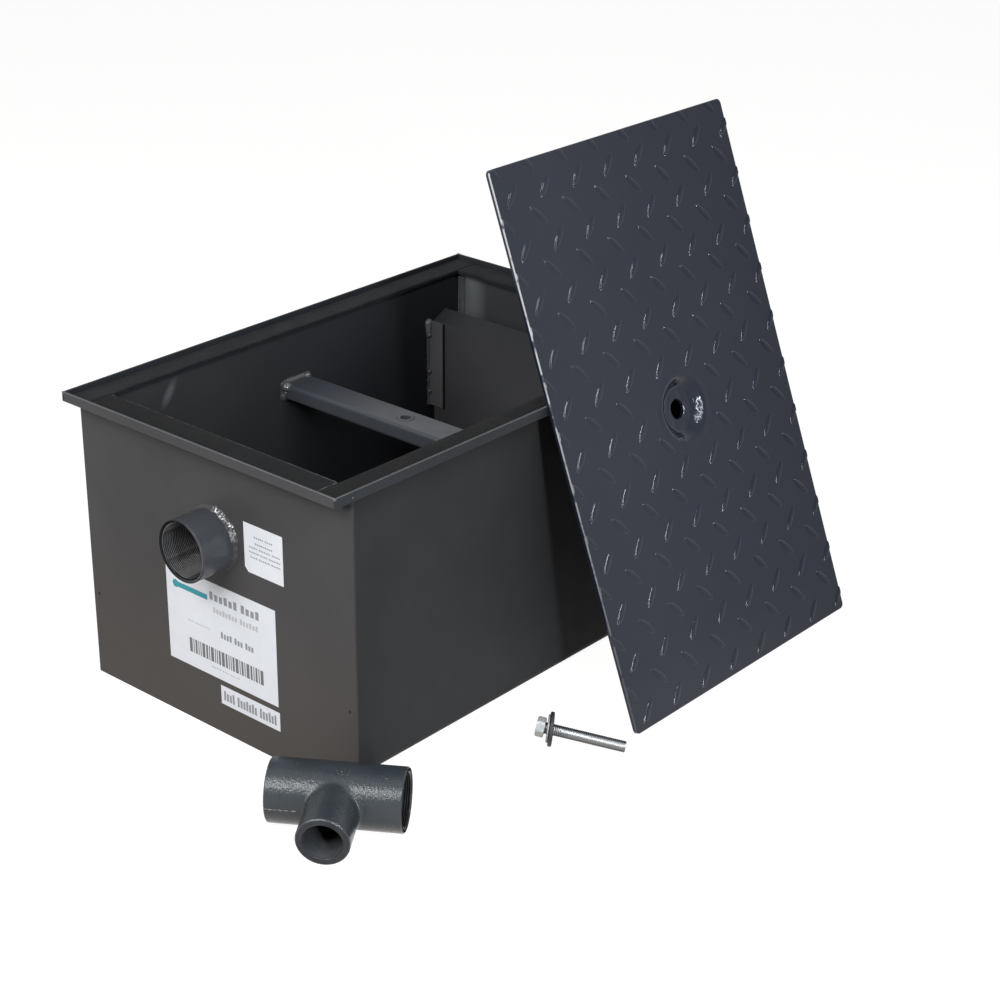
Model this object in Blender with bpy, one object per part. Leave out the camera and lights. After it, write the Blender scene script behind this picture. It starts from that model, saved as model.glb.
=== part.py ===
"""Steel grease trap, open, with its tread plate cover leaning on the rim.

The tank stands on its base at the origin. X runs across it, Y along it from the outlet end (-Y)
to the inlet end (+Y), and Z is up. The cover, its bolt and the flow control tee lie beside it.
All lengths are in metres.
"""
from math import atan2, cos, pi, radians, sin, sqrt, tan

import bmesh
import bpy
from mathutils import Matrix, Vector

# Fits
GAP = 0.0003
SLIDE_CLEARANCE = 0.0005

# Rim: four lengths of small angle, with the lip standing up outside
RIM_WIDTH = 0.406
RIM_LENGTH = 0.624
RIM_TOP = 0.345
LIP_THICKNESS = 0.0025
LIP_HEIGHT = 0.011
LEDGE_THICKNESS = 0.003
SIDE_LEDGE = 0.031
END_LEDGE = 0.036
RIM_EDGE = 0.0006

# Gasket strips on the ledge
GASKET_THICKNESS = 0.0027
GASKET_OVERHANG = 0.002
GASKET_CLEARANCE = 0.0005

# Tank: a folded trough between two end plates
SHEET = 0.0025
SIDE_OVERHANG = 0.0255
TANK_WIDTH = RIM_WIDTH - 2 * SIDE_OVERHANG
BEND_RADIUS = 0.010
BEND_STEPS = 6
END_OVERHANG = 0.0225
END_PLATE_FACE = RIM_LENGTH / 2 - END_OVERHANG
PAINT_HOLE_RADIUS = 0.002
PAINT_HOLE_HEIGHT = 0.100
PAINT_HOLE_INSET = 0.009

# Pipe couplings through the end plates
COUPLING_HEIGHT = 0.2306
COUPLING_RADIUS = 0.0345
COUPLING_BORE = 0.0312
COUPLING_OUTSIDE = 0.0433
COUPLING_INSIDE = 0.012
COUPLING_CHAMFER = 0.0018
COUPLING_STEPS = 60
WELD_LEG = 0.0075
WELD_RIPPLES = 24
WELD_RIPPLE_DEPTH = 0.0006

# Crossbar that the cover's bolt screws into
BAR_WIDTH = 0.042
BAR_DEPTH = 0.019
BAR_TOP = 0.2757
BAR_WALL = 0.0025
BAR_CORNER = 0.004
BAR_CORNER_STEPS = 4
NUT_RADIUS = 0.0100
NUT_BORE = 0.0060
NUT_PROUD = 0.0006

# Removable inlet baffle in its guides, and the fixed outlet baffle
BAFFLE_SHEET = 0.0025
BAFFLE_Y = 0.230
BAFFLE_HALF_WIDTH = 0.168
BAFFLE_FOLD_HEIGHT = 0.2875
BAFFLE_LIP = 0.023
BAFFLE_LIP_ANGLE = 63.0
BAFFLE_LEG_WIDTH = 0.040
BAFFLE_PASSAGE = 0.070
BAFFLE_FOOT_CUT = 0.012
GUIDE_WIDTH = 0.018
GUIDE_THICKNESS = 0.0025
GUIDE_BOTTOM = 0.176
GUIDE_BELOW_FOLD = 0.001
OUTLET_BAFFLE_Y = -0.232
OUTLET_BAFFLE_BOTTOM = 0.045
OUTLET_BAFFLE_TOP = 0.285

# Tread plate cover
COVER_WIDTH = 0.402
COVER_LENGTH = 0.620
COVER_THICKNESS = 0.0045
COVER_CORNER = 0.006
COVER_CORNER_STEPS = 4
COVER_START_Y = 0.0
COVER_LEAN = 20.64
LUG_LENGTH = 0.031
LUG_WIDTH = 0.0090
LUG_HEIGHT = 0.0013
LUG_ANGLE = 48.0
LUG_PITCH_ACROSS = 0.0530
LUG_PITCH_UP = 0.0571
LUG_FIRST = (0.0252, 0.5877)
LUG_SECOND = (0.0580, 0.5598)
LUG_SIDE_POINTS = 3
LUG_CREST = 0.55
STOCK_MARGIN = 0.030
DISH_RADIUS = 0.0390
DISH_FLOOR_RADIUS = 0.0250
DISH_DEPTH = 0.0100
DISH_WALL_STEPS = 5
DISH_STEPS = 48
DISH_OFF_MIDDLE = (0.0065, -0.0045)
BOLT_HOLE_RADIUS = 0.011

# Cover bolt with its two washers
BOLT_RADIUS = 0.00635
BOLT_LENGTH = 0.088
BOLT_POINT = 0.0012
BOLT_STEPS = 32
HEAD_FLATS = 0.019
HEAD_HEIGHT = 0.0092
HEAD_CHAMFER = 0.0010
WASHER_BORE = 0.0069
STEEL_WASHER_RADIUS = 0.0160
STEEL_WASHER_THICKNESS = 0.0030
STEEL_WASHER_START = 0.0010
RUBBER_WASHER_RADIUS = 0.0187
RUBBER_WASHER_THICKNESS = 0.0050
WASHER_STEPS = 40
BOLT_HEAD_AT = (0.2729, -0.0778)
BOLT_HEADING = 31.0

# Cast flow control tee with its restrictor disc
TEE_RUN_RADIUS = 0.0333
TEE_RUN_LENGTH = 0.1386
TEE_RUN_BORE = 0.0262
TEE_THREAD_BORE = 0.0285
TEE_THREAD_DEPTH = 0.024
TEE_BRANCH_RADIUS = 0.0276
TEE_BRANCH_REACH = 0.0781
TEE_BRANCH_BORE = 0.0198
TEE_FLARE = 0.0042
TEE_FLARE_STEPS = 5
TEE_EDGE = 0.0012
TEE_STEPS = 56
TEE_AT = (0.2180, -0.3318)
TEE_HEADING = 33.2
ORIFICE_BORE = 0.011
ORIFICE_THICKNESS = 0.0035

# Values that follow from the sizes above
LEDGE_BOTTOM = RIM_TOP - LIP_HEIGHT
LEDGE_TOP = LEDGE_BOTTOM + LEDGE_THICKNESS
WALL_TOP = LEDGE_BOTTOM - GAP
WALL_INSIDE = TANK_WIDTH / 2 - SHEET
END_PLATE_INSIDE = END_PLATE_FACE - SHEET
BAFFLE_FRONT = BAFFLE_Y - BAFFLE_SHEET / 2
BAFFLE_BACK = BAFFLE_Y + BAFFLE_SHEET / 2
GUIDE_TOP = BAFFLE_FOLD_HEIGHT - GUIDE_BELOW_FOLD

PAINT = ((0.055, 0.058, 0.062, 1.0), 0.42, 0.0)
CAST_PAINT = ((0.070, 0.076, 0.082, 1.0), 0.38, 0.0)
COVER_PAINT = ((0.045, 0.050, 0.058, 1.0), 0.40, 0.0)
FOAM = ((0.030, 0.030, 0.031, 1.0), 0.85, 0.0)
ZINC = ((0.62, 0.63, 0.64, 1.0), 0.30, 1.0)
RUBBER = ((0.020, 0.022, 0.026, 1.0), 0.60, 0.0)


def clear_scene():
    for thing in list(bpy.data.objects):
        bpy.data.objects.remove(thing, do_unlink=True)


def principled(name, finish):
    """Give the named material, made once, with its colour, roughness and metallic value."""
    found = bpy.data.materials.get(name)
    if found:
        return found
    colour, roughness, metallic = finish
    made = bpy.data.materials.new(name)
    made.use_nodes = True
    shader = made.node_tree.nodes["Principled BSDF"]
    shader.inputs["Base Color"].default_value = colour
    shader.inputs["Roughness"].default_value = roughness
    shader.inputs["Metallic"].default_value = metallic
    made.diffuse_color = colour
    return made


def add_object(name, bm, material, smooth=False):
    """Turn the bmesh into a named object with its faces pointing out."""
    bmesh.ops.recalc_face_normals(bm, faces=bm.faces)
    mesh = bpy.data.meshes.new(name)
    bm.to_mesh(mesh)
    bm.free()
    if material:
        mesh.materials.append(material)
    if smooth:
        mesh.shade_smooth()
        mesh.set_sharp_from_angle(angle=radians(35))
    thing = bpy.data.objects.new(name, mesh)
    bpy.context.scene.collection.objects.link(thing)
    return thing


def as_cutter(thing):
    thing.hide_render = True
    thing.display_type = 'WIRE'
    return thing


def add_boolean(thing, cutter, operation='DIFFERENCE'):
    modifier = thing.modifiers.new(cutter.name, 'BOOLEAN')
    modifier.operation = operation
    modifier.solver = 'EXACT'
    modifier.object = cutter


def add_bevel(thing, width, segments=2):
    modifier = thing.modifiers.new("edge", 'BEVEL')
    modifier.width = width
    modifier.segments = segments
    modifier.limit_method = 'ANGLE'
    modifier.angle_limit = radians(40)


def box(low, high):
    """A block between two corners."""
    bm = bmesh.new()
    bmesh.ops.create_cube(bm, size=1.0)
    size = Vector(high) - Vector(low)
    middle = (Vector(high) + Vector(low)) / 2
    bmesh.ops.scale(bm, vec=size, verts=bm.verts)
    bmesh.ops.translate(bm, vec=middle, verts=bm.verts)
    return bm


def prism(outline, start, along):
    """Extrude a closed outline of points, given as 3D vectors, from start by the vector along."""
    bm = bmesh.new()
    ring = [bm.verts.new(Vector(point) + Vector(start)) for point in outline]
    face = bm.faces.new(ring)
    pulled = bmesh.ops.extrude_face_region(bm, geom=[face])
    moved = [item for item in pulled["geom"] if isinstance(item, bmesh.types.BMVert)]
    bmesh.ops.translate(bm, vec=Vector(along), verts=moved)
    return bm


def turned(profile, steps, closed=True):
    """Spin a profile of (radius, height) points about Z. An open profile ends on the axis."""
    bm = bmesh.new()
    ring = [bm.verts.new((radius, 0.0, height)) for radius, height in profile]
    edges = [bm.edges.new(pair) for pair in zip(ring, ring[1:])]
    if closed:
        edges.append(bm.edges.new((ring[-1], ring[0])))
    bmesh.ops.spin(bm, geom=ring + edges, cent=(0, 0, 0), axis=(0, 0, 1), angle=2 * pi,
                   steps=steps, use_merge=True)
    bmesh.ops.remove_doubles(bm, verts=bm.verts, dist=1e-6)
    return bm


def moved(bm, matrix):
    bmesh.ops.transform(bm, matrix=matrix, verts=bm.verts)
    return bm


def arc(centre, radius, start, end, steps):
    """Points of an arc in a plane, from one angle to another, both ends included."""
    points = []
    for step in range(steps + 1):
        angle = start + (end - start) * step / steps
        points.append((centre[0] + radius * cos(angle), centre[1] + radius * sin(angle)))
    return points


def rounded_rectangle(left, bottom, right, top, radius, steps):
    corners = (((right - radius, top - radius), 0.0),
               ((left + radius, top - radius), pi / 2),
               ((left + radius, bottom + radius), pi),
               ((right - radius, bottom + radius), 3 * pi / 2))
    points = []
    for centre, start in corners:
        points += arc(centre, radius, start, start + pi / 2, steps)
    return points


# Tank

def trough_outline():
    """Section of the folded trough, in X and Z: up the outside and back down the inside."""
    half = TANK_WIDTH / 2
    inner = BEND_RADIUS - SHEET
    centre_x = half - BEND_RADIUS
    outside = [(-half, WALL_TOP)]
    outside += arc((-centre_x, BEND_RADIUS), BEND_RADIUS, pi, 1.5 * pi, BEND_STEPS)
    outside += arc((centre_x, BEND_RADIUS), BEND_RADIUS, 1.5 * pi, 2 * pi, BEND_STEPS)
    outside.append((half, WALL_TOP))
    inside = [(WALL_INSIDE, WALL_TOP)]
    inside += arc((centre_x, BEND_RADIUS), inner, 2 * pi, 1.5 * pi, BEND_STEPS)
    inside += arc((-centre_x, BEND_RADIUS), inner, 1.5 * pi, pi, BEND_STEPS)
    inside.append((-WALL_INSIDE, WALL_TOP))
    return outside + inside


def make_trough(paint):
    half_length = END_PLATE_INSIDE - GAP
    outline = [(x, 0.0, z) for x, z in trough_outline()]
    bm = prism(outline, (0, -half_length, 0), (0, 2 * half_length, 0))
    return add_object("tank_trough", bm, paint)


def cylinder_along_y(radius, y_low, y_high, x, z, steps):
    """A plain round bar along Y, used to drill the end plates."""
    bm = bmesh.new()
    bmesh.ops.create_cone(bm, cap_ends=True, segments=steps, radius1=radius, radius2=radius,
                          depth=y_high - y_low)
    turn = Matrix.Translation((x, (y_low + y_high) / 2, z)) @ Matrix.Rotation(pi / 2, 4, 'X')
    return moved(bm, turn)


def make_end_plate(name, side, paint):
    """One end plate. side is -1 at the outlet end and +1 at the inlet end."""
    near, far = sorted((side * END_PLATE_INSIDE, side * END_PLATE_FACE))
    half = RIM_WIDTH / 2
    plate = add_object(name, box((-half, near, 0.0), (half, far, WALL_TOP)), paint)
    bore = cylinder_along_y(COUPLING_RADIUS + GAP, near - SHEET, far + SHEET, 0.0, COUPLING_HEIGHT,
                            COUPLING_STEPS)
    add_boolean(plate, as_cutter(add_object("cut_" + name, bore, None)))
    for hand in (-1, 1):
        at = hand * (half - PAINT_HOLE_INSET)
        hole = cylinder_along_y(PAINT_HOLE_RADIUS, near - SHEET, far + SHEET, at,
                                PAINT_HOLE_HEIGHT, 16)
        cutter = as_cutter(add_object("cut_%s_%d" % (name, hand), hole, None))
        add_boolean(plate, cutter)
    return plate


def rim_section(ledge):
    """Section of a rim angle: distance in from the outer face, and height."""
    return ((0.0, LEDGE_BOTTOM), (0.0, RIM_TOP), (LIP_THICKNESS, RIM_TOP),
            (LIP_THICKNESS, LEDGE_TOP), (ledge, LEDGE_TOP), (ledge, LEDGE_BOTTOM))


def make_rim_bar(name, turn, face, half_length, ledge, other_ledge, paint):
    """A length of angle with mitred ends. face is how far its outer face lies from the middle."""
    bm = bmesh.new()
    slope = other_ledge / ledge
    ends = []
    for end in (-1, 1):
        ring = []
        for inward, height in rim_section(ledge):
            along = half_length - inward * slope - GAP / 2
            ring.append(bm.verts.new((face - inward, end * along, height)))
        ends.append(ring)
    first, second = ends
    bm.faces.new(first)
    bm.faces.new(list(reversed(second)))
    count = len(first)
    for index in range(count):
        after = (index + 1) % count
        bm.faces.new((first[index], second[index], second[after], first[after]))
    bar = add_object(name, moved(bm, Matrix.Rotation(turn, 4, 'Z')), paint)
    add_bevel(bar, RIM_EDGE)
    return bar


def make_rim(paint):
    half_width = RIM_WIDTH / 2
    half_length = RIM_LENGTH / 2
    make_rim_bar("rim_right", 0.0, half_width, half_length, SIDE_LEDGE, END_LEDGE, paint)
    make_rim_bar("rim_left", pi, half_width, half_length, SIDE_LEDGE, END_LEDGE, paint)
    make_rim_bar("rim_inlet", pi / 2, half_length, half_width, END_LEDGE, SIDE_LEDGE, paint)
    make_rim_bar("rim_outlet", -pi / 2, half_length, half_width, END_LEDGE, SIDE_LEDGE, paint)


def make_gasket(foam):
    """Two full length side strips, with the end strips butted between them."""
    low = LEDGE_TOP + GAP
    high = low + GASKET_THICKNESS
    outer_x = RIM_WIDTH / 2 - LIP_THICKNESS - GASKET_CLEARANCE
    outer_y = RIM_LENGTH / 2 - LIP_THICKNESS - GASKET_CLEARANCE
    inner_x = RIM_WIDTH / 2 - SIDE_LEDGE - GASKET_OVERHANG
    inner_y = RIM_LENGTH / 2 - END_LEDGE - GASKET_OVERHANG
    for name, side in (("gasket_left", -1), ("gasket_right", 1)):
        near, far = sorted((side * inner_x, side * outer_x))
        add_object(name, box((near, -outer_y, low), (far, outer_y, high)), foam)
    for name, side in (("gasket_outlet", -1), ("gasket_inlet", 1)):
        near, far = sorted((side * inner_y, side * outer_y))
        add_object(name, box((-inner_x + GAP, near, low), (inner_x - GAP, far, high)), foam)


def port_matrix(side):
    """Lay a piece turned about Z along the port's axis, with its top end pointing outwards."""
    turn = Matrix.Rotation(-side * pi / 2, 4, 'X')
    return Matrix.Translation((0.0, side * END_PLATE_FACE, COUPLING_HEIGHT)) @ turn


def make_coupling(name, side, paint):
    cut = COUPLING_CHAMFER
    inside = -SHEET - COUPLING_INSIDE
    profile = ((COUPLING_BORE, inside), (COUPLING_RADIUS, inside),
               (COUPLING_RADIUS, COUPLING_OUTSIDE - cut / 2),
               (COUPLING_RADIUS - cut / 2, COUPLING_OUTSIDE),
               (COUPLING_BORE + cut, COUPLING_OUTSIDE), (COUPLING_BORE, COUPLING_OUTSIDE - cut))
    bm = moved(turned(profile, COUPLING_STEPS), port_matrix(side))
    return add_object(name, bm, paint, smooth=True)


def make_port_weld(name, side, paint):
    """The fillet weld round a coupling: a ring whose toe and crown ripple like laid beads."""
    bm = bmesh.new()
    inner = COUPLING_RADIUS + GAP
    steps = WELD_RIPPLES * 4
    rings = []
    for step in range(steps):
        angle = 2 * pi * step / steps
        swell = WELD_RIPPLE_DEPTH * (1 + sin(WELD_RIPPLES * angle)) / 2
        leg = WELD_LEG - 2 * WELD_RIPPLE_DEPTH + swell
        section = ((inner, GAP), (inner + leg, GAP), (inner + leg * 0.6, GAP + leg * 0.6),
                   (inner, GAP + leg))
        rings.append([bm.verts.new((radius * cos(angle), radius * sin(angle), height))
                      for radius, height in section])
    count = len(rings[0])
    for step in range(steps):
        ring = rings[step]
        following = rings[(step + 1) % steps]
        for index in range(count):
            after = (index + 1) % count
            bm.faces.new((ring[index], ring[after], following[after], following[index]))
    return add_object(name, moved(bm, port_matrix(side)), paint, smooth=True)


# Inside the tank

def make_crossbar(paint):
    """A flat rectangular tube from wall to wall, drilled for the threaded bush."""
    half = BAR_WIDTH / 2
    low = BAR_TOP - BAR_DEPTH
    reach = WALL_INSIDE - GAP
    outer = rounded_rectangle(-half, low, half, BAR_TOP, BAR_CORNER, BAR_CORNER_STEPS)
    inner = rounded_rectangle(-half + BAR_WALL, low + BAR_WALL, half - BAR_WALL, BAR_TOP - BAR_WALL,
                              BAR_CORNER - BAR_WALL, BAR_CORNER_STEPS)
    bar = add_object("crossbar", prism([(0, y, z) for y, z in outer], (-reach, 0, 0),
                                       (2 * reach, 0, 0)), paint)
    hollow = prism([(0, y, z) for y, z in inner], (-reach - BAR_WALL, 0, 0),
                   (2 * reach + 2 * BAR_WALL, 0, 0))
    add_boolean(bar, as_cutter(add_object("cut_crossbar_hollow", hollow, None)))
    drill = bmesh.new()
    bmesh.ops.create_cone(drill, cap_ends=True, segments=WASHER_STEPS, radius1=NUT_RADIUS + GAP,
                          radius2=NUT_RADIUS + GAP, depth=2 * BAR_DEPTH)
    bmesh.ops.translate(drill, vec=(0, 0, BAR_TOP - BAR_DEPTH / 2), verts=drill.verts)
    add_boolean(bar, as_cutter(add_object("cut_crossbar_bush", drill, None)))
    return bar


def make_bush(steel):
    low = BAR_TOP - BAR_DEPTH - NUT_PROUD
    high = BAR_TOP + NUT_PROUD
    cut = NUT_PROUD
    profile = ((NUT_BORE, low), (NUT_RADIUS, low), (NUT_RADIUS, high - cut),
               (NUT_RADIUS - cut, high), (NUT_BORE + cut, high), (NUT_BORE, high - cut))
    return add_object("crossbar_bush", turned(profile, WASHER_STEPS), steel, smooth=True)


def make_guides(paint):
    """Two strips on each wall, with the baffle's slot between them."""
    outer = WALL_INSIDE - GAP
    inner = outer - GUIDE_WIDTH
    front = BAFFLE_FRONT - SLIDE_CLEARANCE - GUIDE_THICKNESS
    back = BAFFLE_BACK + SLIDE_CLEARANCE
    for hand, side in (("left", -1), ("right", 1)):
        near, far = sorted((side * inner, side * outer))
        for place, y, top in (("front", front, GUIDE_TOP), ("back", back, GUIDE_TOP - BAFFLE_SHEET)):
            bm = box((near, y, GUIDE_BOTTOM), (far, y + GUIDE_THICKNESS, top))
            strip = add_object("baffle_guide_%s_%s" % (hand, place), bm, paint)
            add_bevel(strip, GUIDE_THICKNESS / 8, 1)


def baffle_outline():
    """Section of the inlet baffle in Y and Z: upright, then folded back towards the inlet."""
    lean = radians(BAFFLE_LIP_ANGLE)
    low = SHEET + GAP
    fold = BAFFLE_FOLD_HEIGHT
    run = BAFFLE_LIP * sin(lean)
    rise = BAFFLE_LIP * cos(lean)
    inset = BAFFLE_SHEET * tan(lean / 2)
    step_y = BAFFLE_SHEET * cos(lean)
    step_z = BAFFLE_SHEET * sin(lean)
    return ((BAFFLE_FRONT, low), (BAFFLE_FRONT, fold), (BAFFLE_FRONT + run, fold + rise),
            (BAFFLE_FRONT + run + step_y, fold + rise - step_z), (BAFFLE_BACK, fold - inset),
            (BAFFLE_BACK, low))


def make_inlet_baffle(paint):
    """The lift-out baffle. It stands on two legs, and the flow passes between them."""
    outline = [(0, y, z) for y, z in baffle_outline()]
    bm = prism(outline, (-BAFFLE_HALF_WIDTH, 0, 0), (2 * BAFFLE_HALF_WIDTH, 0, 0))
    baffle = add_object("inlet_baffle", bm, paint)
    low = BAFFLE_FRONT - SHEET
    high = BAFFLE_BACK + SHEET
    inner = BAFFLE_HALF_WIDTH - BAFFLE_LEG_WIDTH
    top = SHEET + BAFFLE_PASSAGE
    passage = prism([(x, 0, z) for x, z in rounded_rectangle(-inner, -top, inner, top, SHEET * 4,
                                                             BEND_STEPS)],
                    (0, low, 0), (0, high - low, 0))
    add_boolean(baffle, as_cutter(add_object("cut_baffle_passage", passage, None)))
    for hand in (-1, 1):
        corner = hand * (BAFFLE_HALF_WIDTH + SHEET)
        size = hand * -(BAFFLE_FOOT_CUT + SHEET)
        outline = ((corner, 0, 0), (corner + size, 0, 0), (corner, 0, abs(size)))
        foot = prism(outline, (0, low, 0), (0, high - low, 0))
        add_boolean(baffle, as_cutter(add_object("cut_baffle_foot_%d" % hand, foot, None)))
    return baffle


def make_outlet_baffle(paint):
    half = WALL_INSIDE - GAP
    bm = box((-half, OUTLET_BAFFLE_Y - SHEET, OUTLET_BAFFLE_BOTTOM),
             (half, OUTLET_BAFFLE_Y, OUTLET_BAFFLE_TOP))
    return add_object("outlet_baffle", bm, paint)


# Tread plate cover

def lug_outline(centre, angle, scale):
    """A pointed oval: its half width falls from the middle to nothing at both tips."""
    upper = []
    lower = []
    for index in range(LUG_SIDE_POINTS):
        share = -1 + 2 * (index + 1) / (LUG_SIDE_POINTS + 1)
        width = LUG_WIDTH / 2 * (1 - share * share) ** 0.8
        upper.append((share * LUG_LENGTH / 2, width))
        lower.append((share * LUG_LENGTH / 2, -width))
    ring = [(-LUG_LENGTH / 2, 0.0)] + lower + [(LUG_LENGTH / 2, 0.0)] + list(reversed(upper))
    turn = (cos(angle), sin(angle))
    return [(centre[0] + scale * (x * turn[0] - y * turn[1]),
             centre[1] + scale * (x * turn[1] + y * turn[0])) for x, y in ring]


def dish_middle():
    """The hole was punched a little off the plate's middle, as the photo shows."""
    return Vector((COVER_WIDTH / 2 + DISH_OFF_MIDDLE[0], COVER_LENGTH / 2 + DISH_OFF_MIDDLE[1]))


def dish_profile():
    """Radius and height of the pressed wall, a smooth S from the plate down to the dish's floor."""
    profile = []
    for step in range(1, DISH_WALL_STEPS + 1):
        share = step / DISH_WALL_STEPS
        radius = DISH_RADIUS + (DISH_FLOOR_RADIUS - DISH_RADIUS) * share
        profile.append((radius, -DISH_DEPTH * (1 - cos(pi * share)) / 2))
    return profile


def lug_places():
    """Centres and angles of both lug sets, over the plate and a little beyond its edges."""
    places = []
    for first, angle in ((LUG_FIRST, radians(LUG_ANGLE)), (LUG_SECOND, -radians(LUG_ANGLE))):
        for column in range(-1, int(COVER_WIDTH / LUG_PITCH_ACROSS) + 1):
            for row in range(-1, int(COVER_LENGTH / LUG_PITCH_UP) + 1):
                across = first[0] + column * LUG_PITCH_ACROSS
                up = first[1] - row * LUG_PITCH_UP
                places.append(((across, up), angle))
    middle = dish_middle()
    reach = LUG_LENGTH / 2
    kept = []
    for centre, angle in places:
        on_stock = (-reach < centre[0] < COVER_WIDTH + reach
                    and -reach < centre[1] < COVER_LENGTH + reach)
        clear_of_dish = (Vector(centre) - middle).length > DISH_RADIUS + LUG_LENGTH / 4
        if on_stock and clear_of_dish and not touches_dish(centre, angle, middle):
            kept.append((centre, angle))
    return kept


def touches_dish(centre, angle, middle):
    for point in lug_outline(centre, angle, 1.0):
        if (Vector(point) - middle).length < DISH_RADIUS + SHEET / 2:
            return True
    return False


def ring_of(bm, points, height):
    """A closed ring of vertices and the edges between them."""
    verts = [bm.verts.new((x, y, height)) for x, y in points]
    edges = [bm.edges.new((verts[i], verts[(i + 1) % len(verts)])) for i in range(len(verts))]
    return verts, edges


def bridge(bm, first, second):
    """Quads between two rings with the same number of points."""
    count = len(first)
    for index in range(count):
        after = (index + 1) % count
        bm.faces.new((first[index], first[after], second[after], second[index]))


def circle_points(middle, radius, steps):
    return [(middle[0] + radius * cos(2 * pi * step / steps),
             middle[1] + radius * sin(2 * pi * step / steps)) for step in range(steps)]


def cover_stock():
    """The rolled plate before it is trimmed: lugs on top, and the pressed dish round the hole."""
    bm = bmesh.new()
    low = -STOCK_MARGIN
    right = COVER_WIDTH + STOCK_MARGIN
    top = COVER_LENGTH + STOCK_MARGIN
    corners = ((low, low), (right, low), (right, top), (low, top))
    middle = dish_middle()
    under = -COVER_THICKNESS
    outer_top, top_edges = ring_of(bm, corners, 0.0)
    dish_top, edges = ring_of(bm, circle_points(middle, DISH_RADIUS, DISH_STEPS), 0.0)
    top_edges += edges
    lugs = []
    for centre, angle in lug_places():
        foot, edges = ring_of(bm, lug_outline(centre, angle, 1.0), 0.0)
        top_edges += edges
        lugs.append((foot, centre, angle))
    bmesh.ops.triangle_fill(bm, edges=top_edges, use_beauty=True, normal=(0, 0, 1))
    for foot, centre, angle in lugs:
        crest = [bm.verts.new((x, y, LUG_HEIGHT)) for x, y in lug_outline(centre, angle, LUG_CREST)]
        bridge(bm, foot, crest)
        bm.faces.new(crest)
    outer_under, under_edges = ring_of(bm, corners, under)
    dish_under, edges = ring_of(bm, circle_points(middle, DISH_RADIUS, DISH_STEPS), under)
    under_edges += edges
    bmesh.ops.triangle_fill(bm, edges=under_edges, use_beauty=True, normal=(0, 0, -1))
    bridge(bm, outer_top, outer_under)
    rings = dish_profile() + [(BOLT_HOLE_RADIUS, -DISH_DEPTH), (BOLT_HOLE_RADIUS, under - DISH_DEPTH)]
    rings += [(radius, height + under) for radius, height in reversed(dish_profile())]
    last = dish_top
    for radius, height in rings:
        ring = [bm.verts.new((x, y, height)) for x, y in circle_points(middle, radius, DISH_STEPS)]
        bridge(bm, last, ring)
        last = ring
    bridge(bm, last, dish_under)
    return bm


def cover_frame():
    """Place of the cover's lower left corner, tread side out, leaning on the rim's top edge."""
    lean = radians(COVER_LEAN)
    normal = Vector((cos(lean), 0, sin(lean)))
    up = Vector((-sin(lean), 0, cos(lean)))
    across = Vector((0, 1, 0))
    height = COVER_THICKNESS * sin(lean)
    reach = ((RIM_TOP - height) * sin(lean) + COVER_THICKNESS + GAP) / cos(lean)
    corner = Vector((RIM_WIDTH / 2 + reach, COVER_START_Y, height))
    matrix = Matrix((across, up, normal)).transposed().to_4x4()
    matrix.translation = corner
    return matrix


def make_cover(paint):
    cover = add_object("cover_plate", cover_stock(), paint)
    outline = rounded_rectangle(0, 0, COVER_WIDTH, COVER_LENGTH, COVER_CORNER, COVER_CORNER_STEPS)
    depth = 4 * COVER_THICKNESS
    trim = prism([(x, y, 0) for x, y in outline], (0, 0, -depth), (0, 0, 2 * depth))
    shape = as_cutter(add_object("cut_cover_outline", trim, None))
    pose = bpy.data.objects.new("cover_pose", None)
    bpy.context.scene.collection.objects.link(pose)
    pose.matrix_world = cover_frame()
    cover.parent = pose
    shape.parent = pose
    add_boolean(cover, shape, 'INTERSECT')
    return cover


# Cover bolt

def bolt_frame():
    """The bolt lies on the rubber washer's rim and on its own tip. Local X runs to the tip."""
    washer_end = (STEEL_WASHER_START + STEEL_WASHER_THICKNESS + GAP + RUBBER_WASHER_THICKNESS)
    span = BOLT_LENGTH - BOLT_POINT - washer_end
    tilt = atan2(RUBBER_WASHER_RADIUS - BOLT_RADIUS, span)
    height = RUBBER_WASHER_RADIUS * cos(tilt) + washer_end * sin(tilt)
    place = Matrix.Translation((BOLT_HEAD_AT[0], BOLT_HEAD_AT[1], height))
    heading = Matrix.Rotation(radians(BOLT_HEADING), 4, 'Z')
    return place @ heading @ Matrix.Rotation(tilt, 4, 'Y') @ Matrix.Rotation(pi / 2, 4, 'Y')


def make_bolt(zinc):
    """Hexagon head with a chamfered crown, and a pointed shank, turned about Z towards the tip."""
    tip = BOLT_RADIUS - BOLT_POINT
    shank = ((0.0, -HEAD_HEIGHT / 2), (BOLT_RADIUS, -HEAD_HEIGHT / 2),
             (BOLT_RADIUS, BOLT_LENGTH - BOLT_POINT), (tip, BOLT_LENGTH), (0.0, BOLT_LENGTH))
    bolt = add_object("cover_bolt", turned(shank, BOLT_STEPS, closed=False), zinc, smooth=True)
    corner = HEAD_FLATS / sqrt(3)
    hexagon = circle_points((0, 0), corner, 6)
    head_bm = prism([(x, y, 0) for x, y in hexagon], (0, 0, -HEAD_HEIGHT), (0, 0, HEAD_HEIGHT))
    head = as_cutter(add_object("cut_bolt_head", head_bm, None))
    crown = HEAD_FLATS / 2 - HEAD_CHAMFER / 2
    drop = (corner - crown) * tan(radians(30))
    crown_profile = ((0.0, -HEAD_HEIGHT), (crown, -HEAD_HEIGHT), (corner, -HEAD_HEIGHT + drop),
                     (corner, 0.0), (0.0, 0.0))
    crown_bm = moved(turned(crown_profile, BOLT_STEPS, closed=False), Matrix.Scale(1.002, 4))
    round_off = as_cutter(add_object("cut_bolt_crown", crown_bm, None))
    add_boolean(head, round_off, 'INTERSECT')
    add_boolean(bolt, head, 'UNION')
    return bolt, head, round_off


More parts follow.
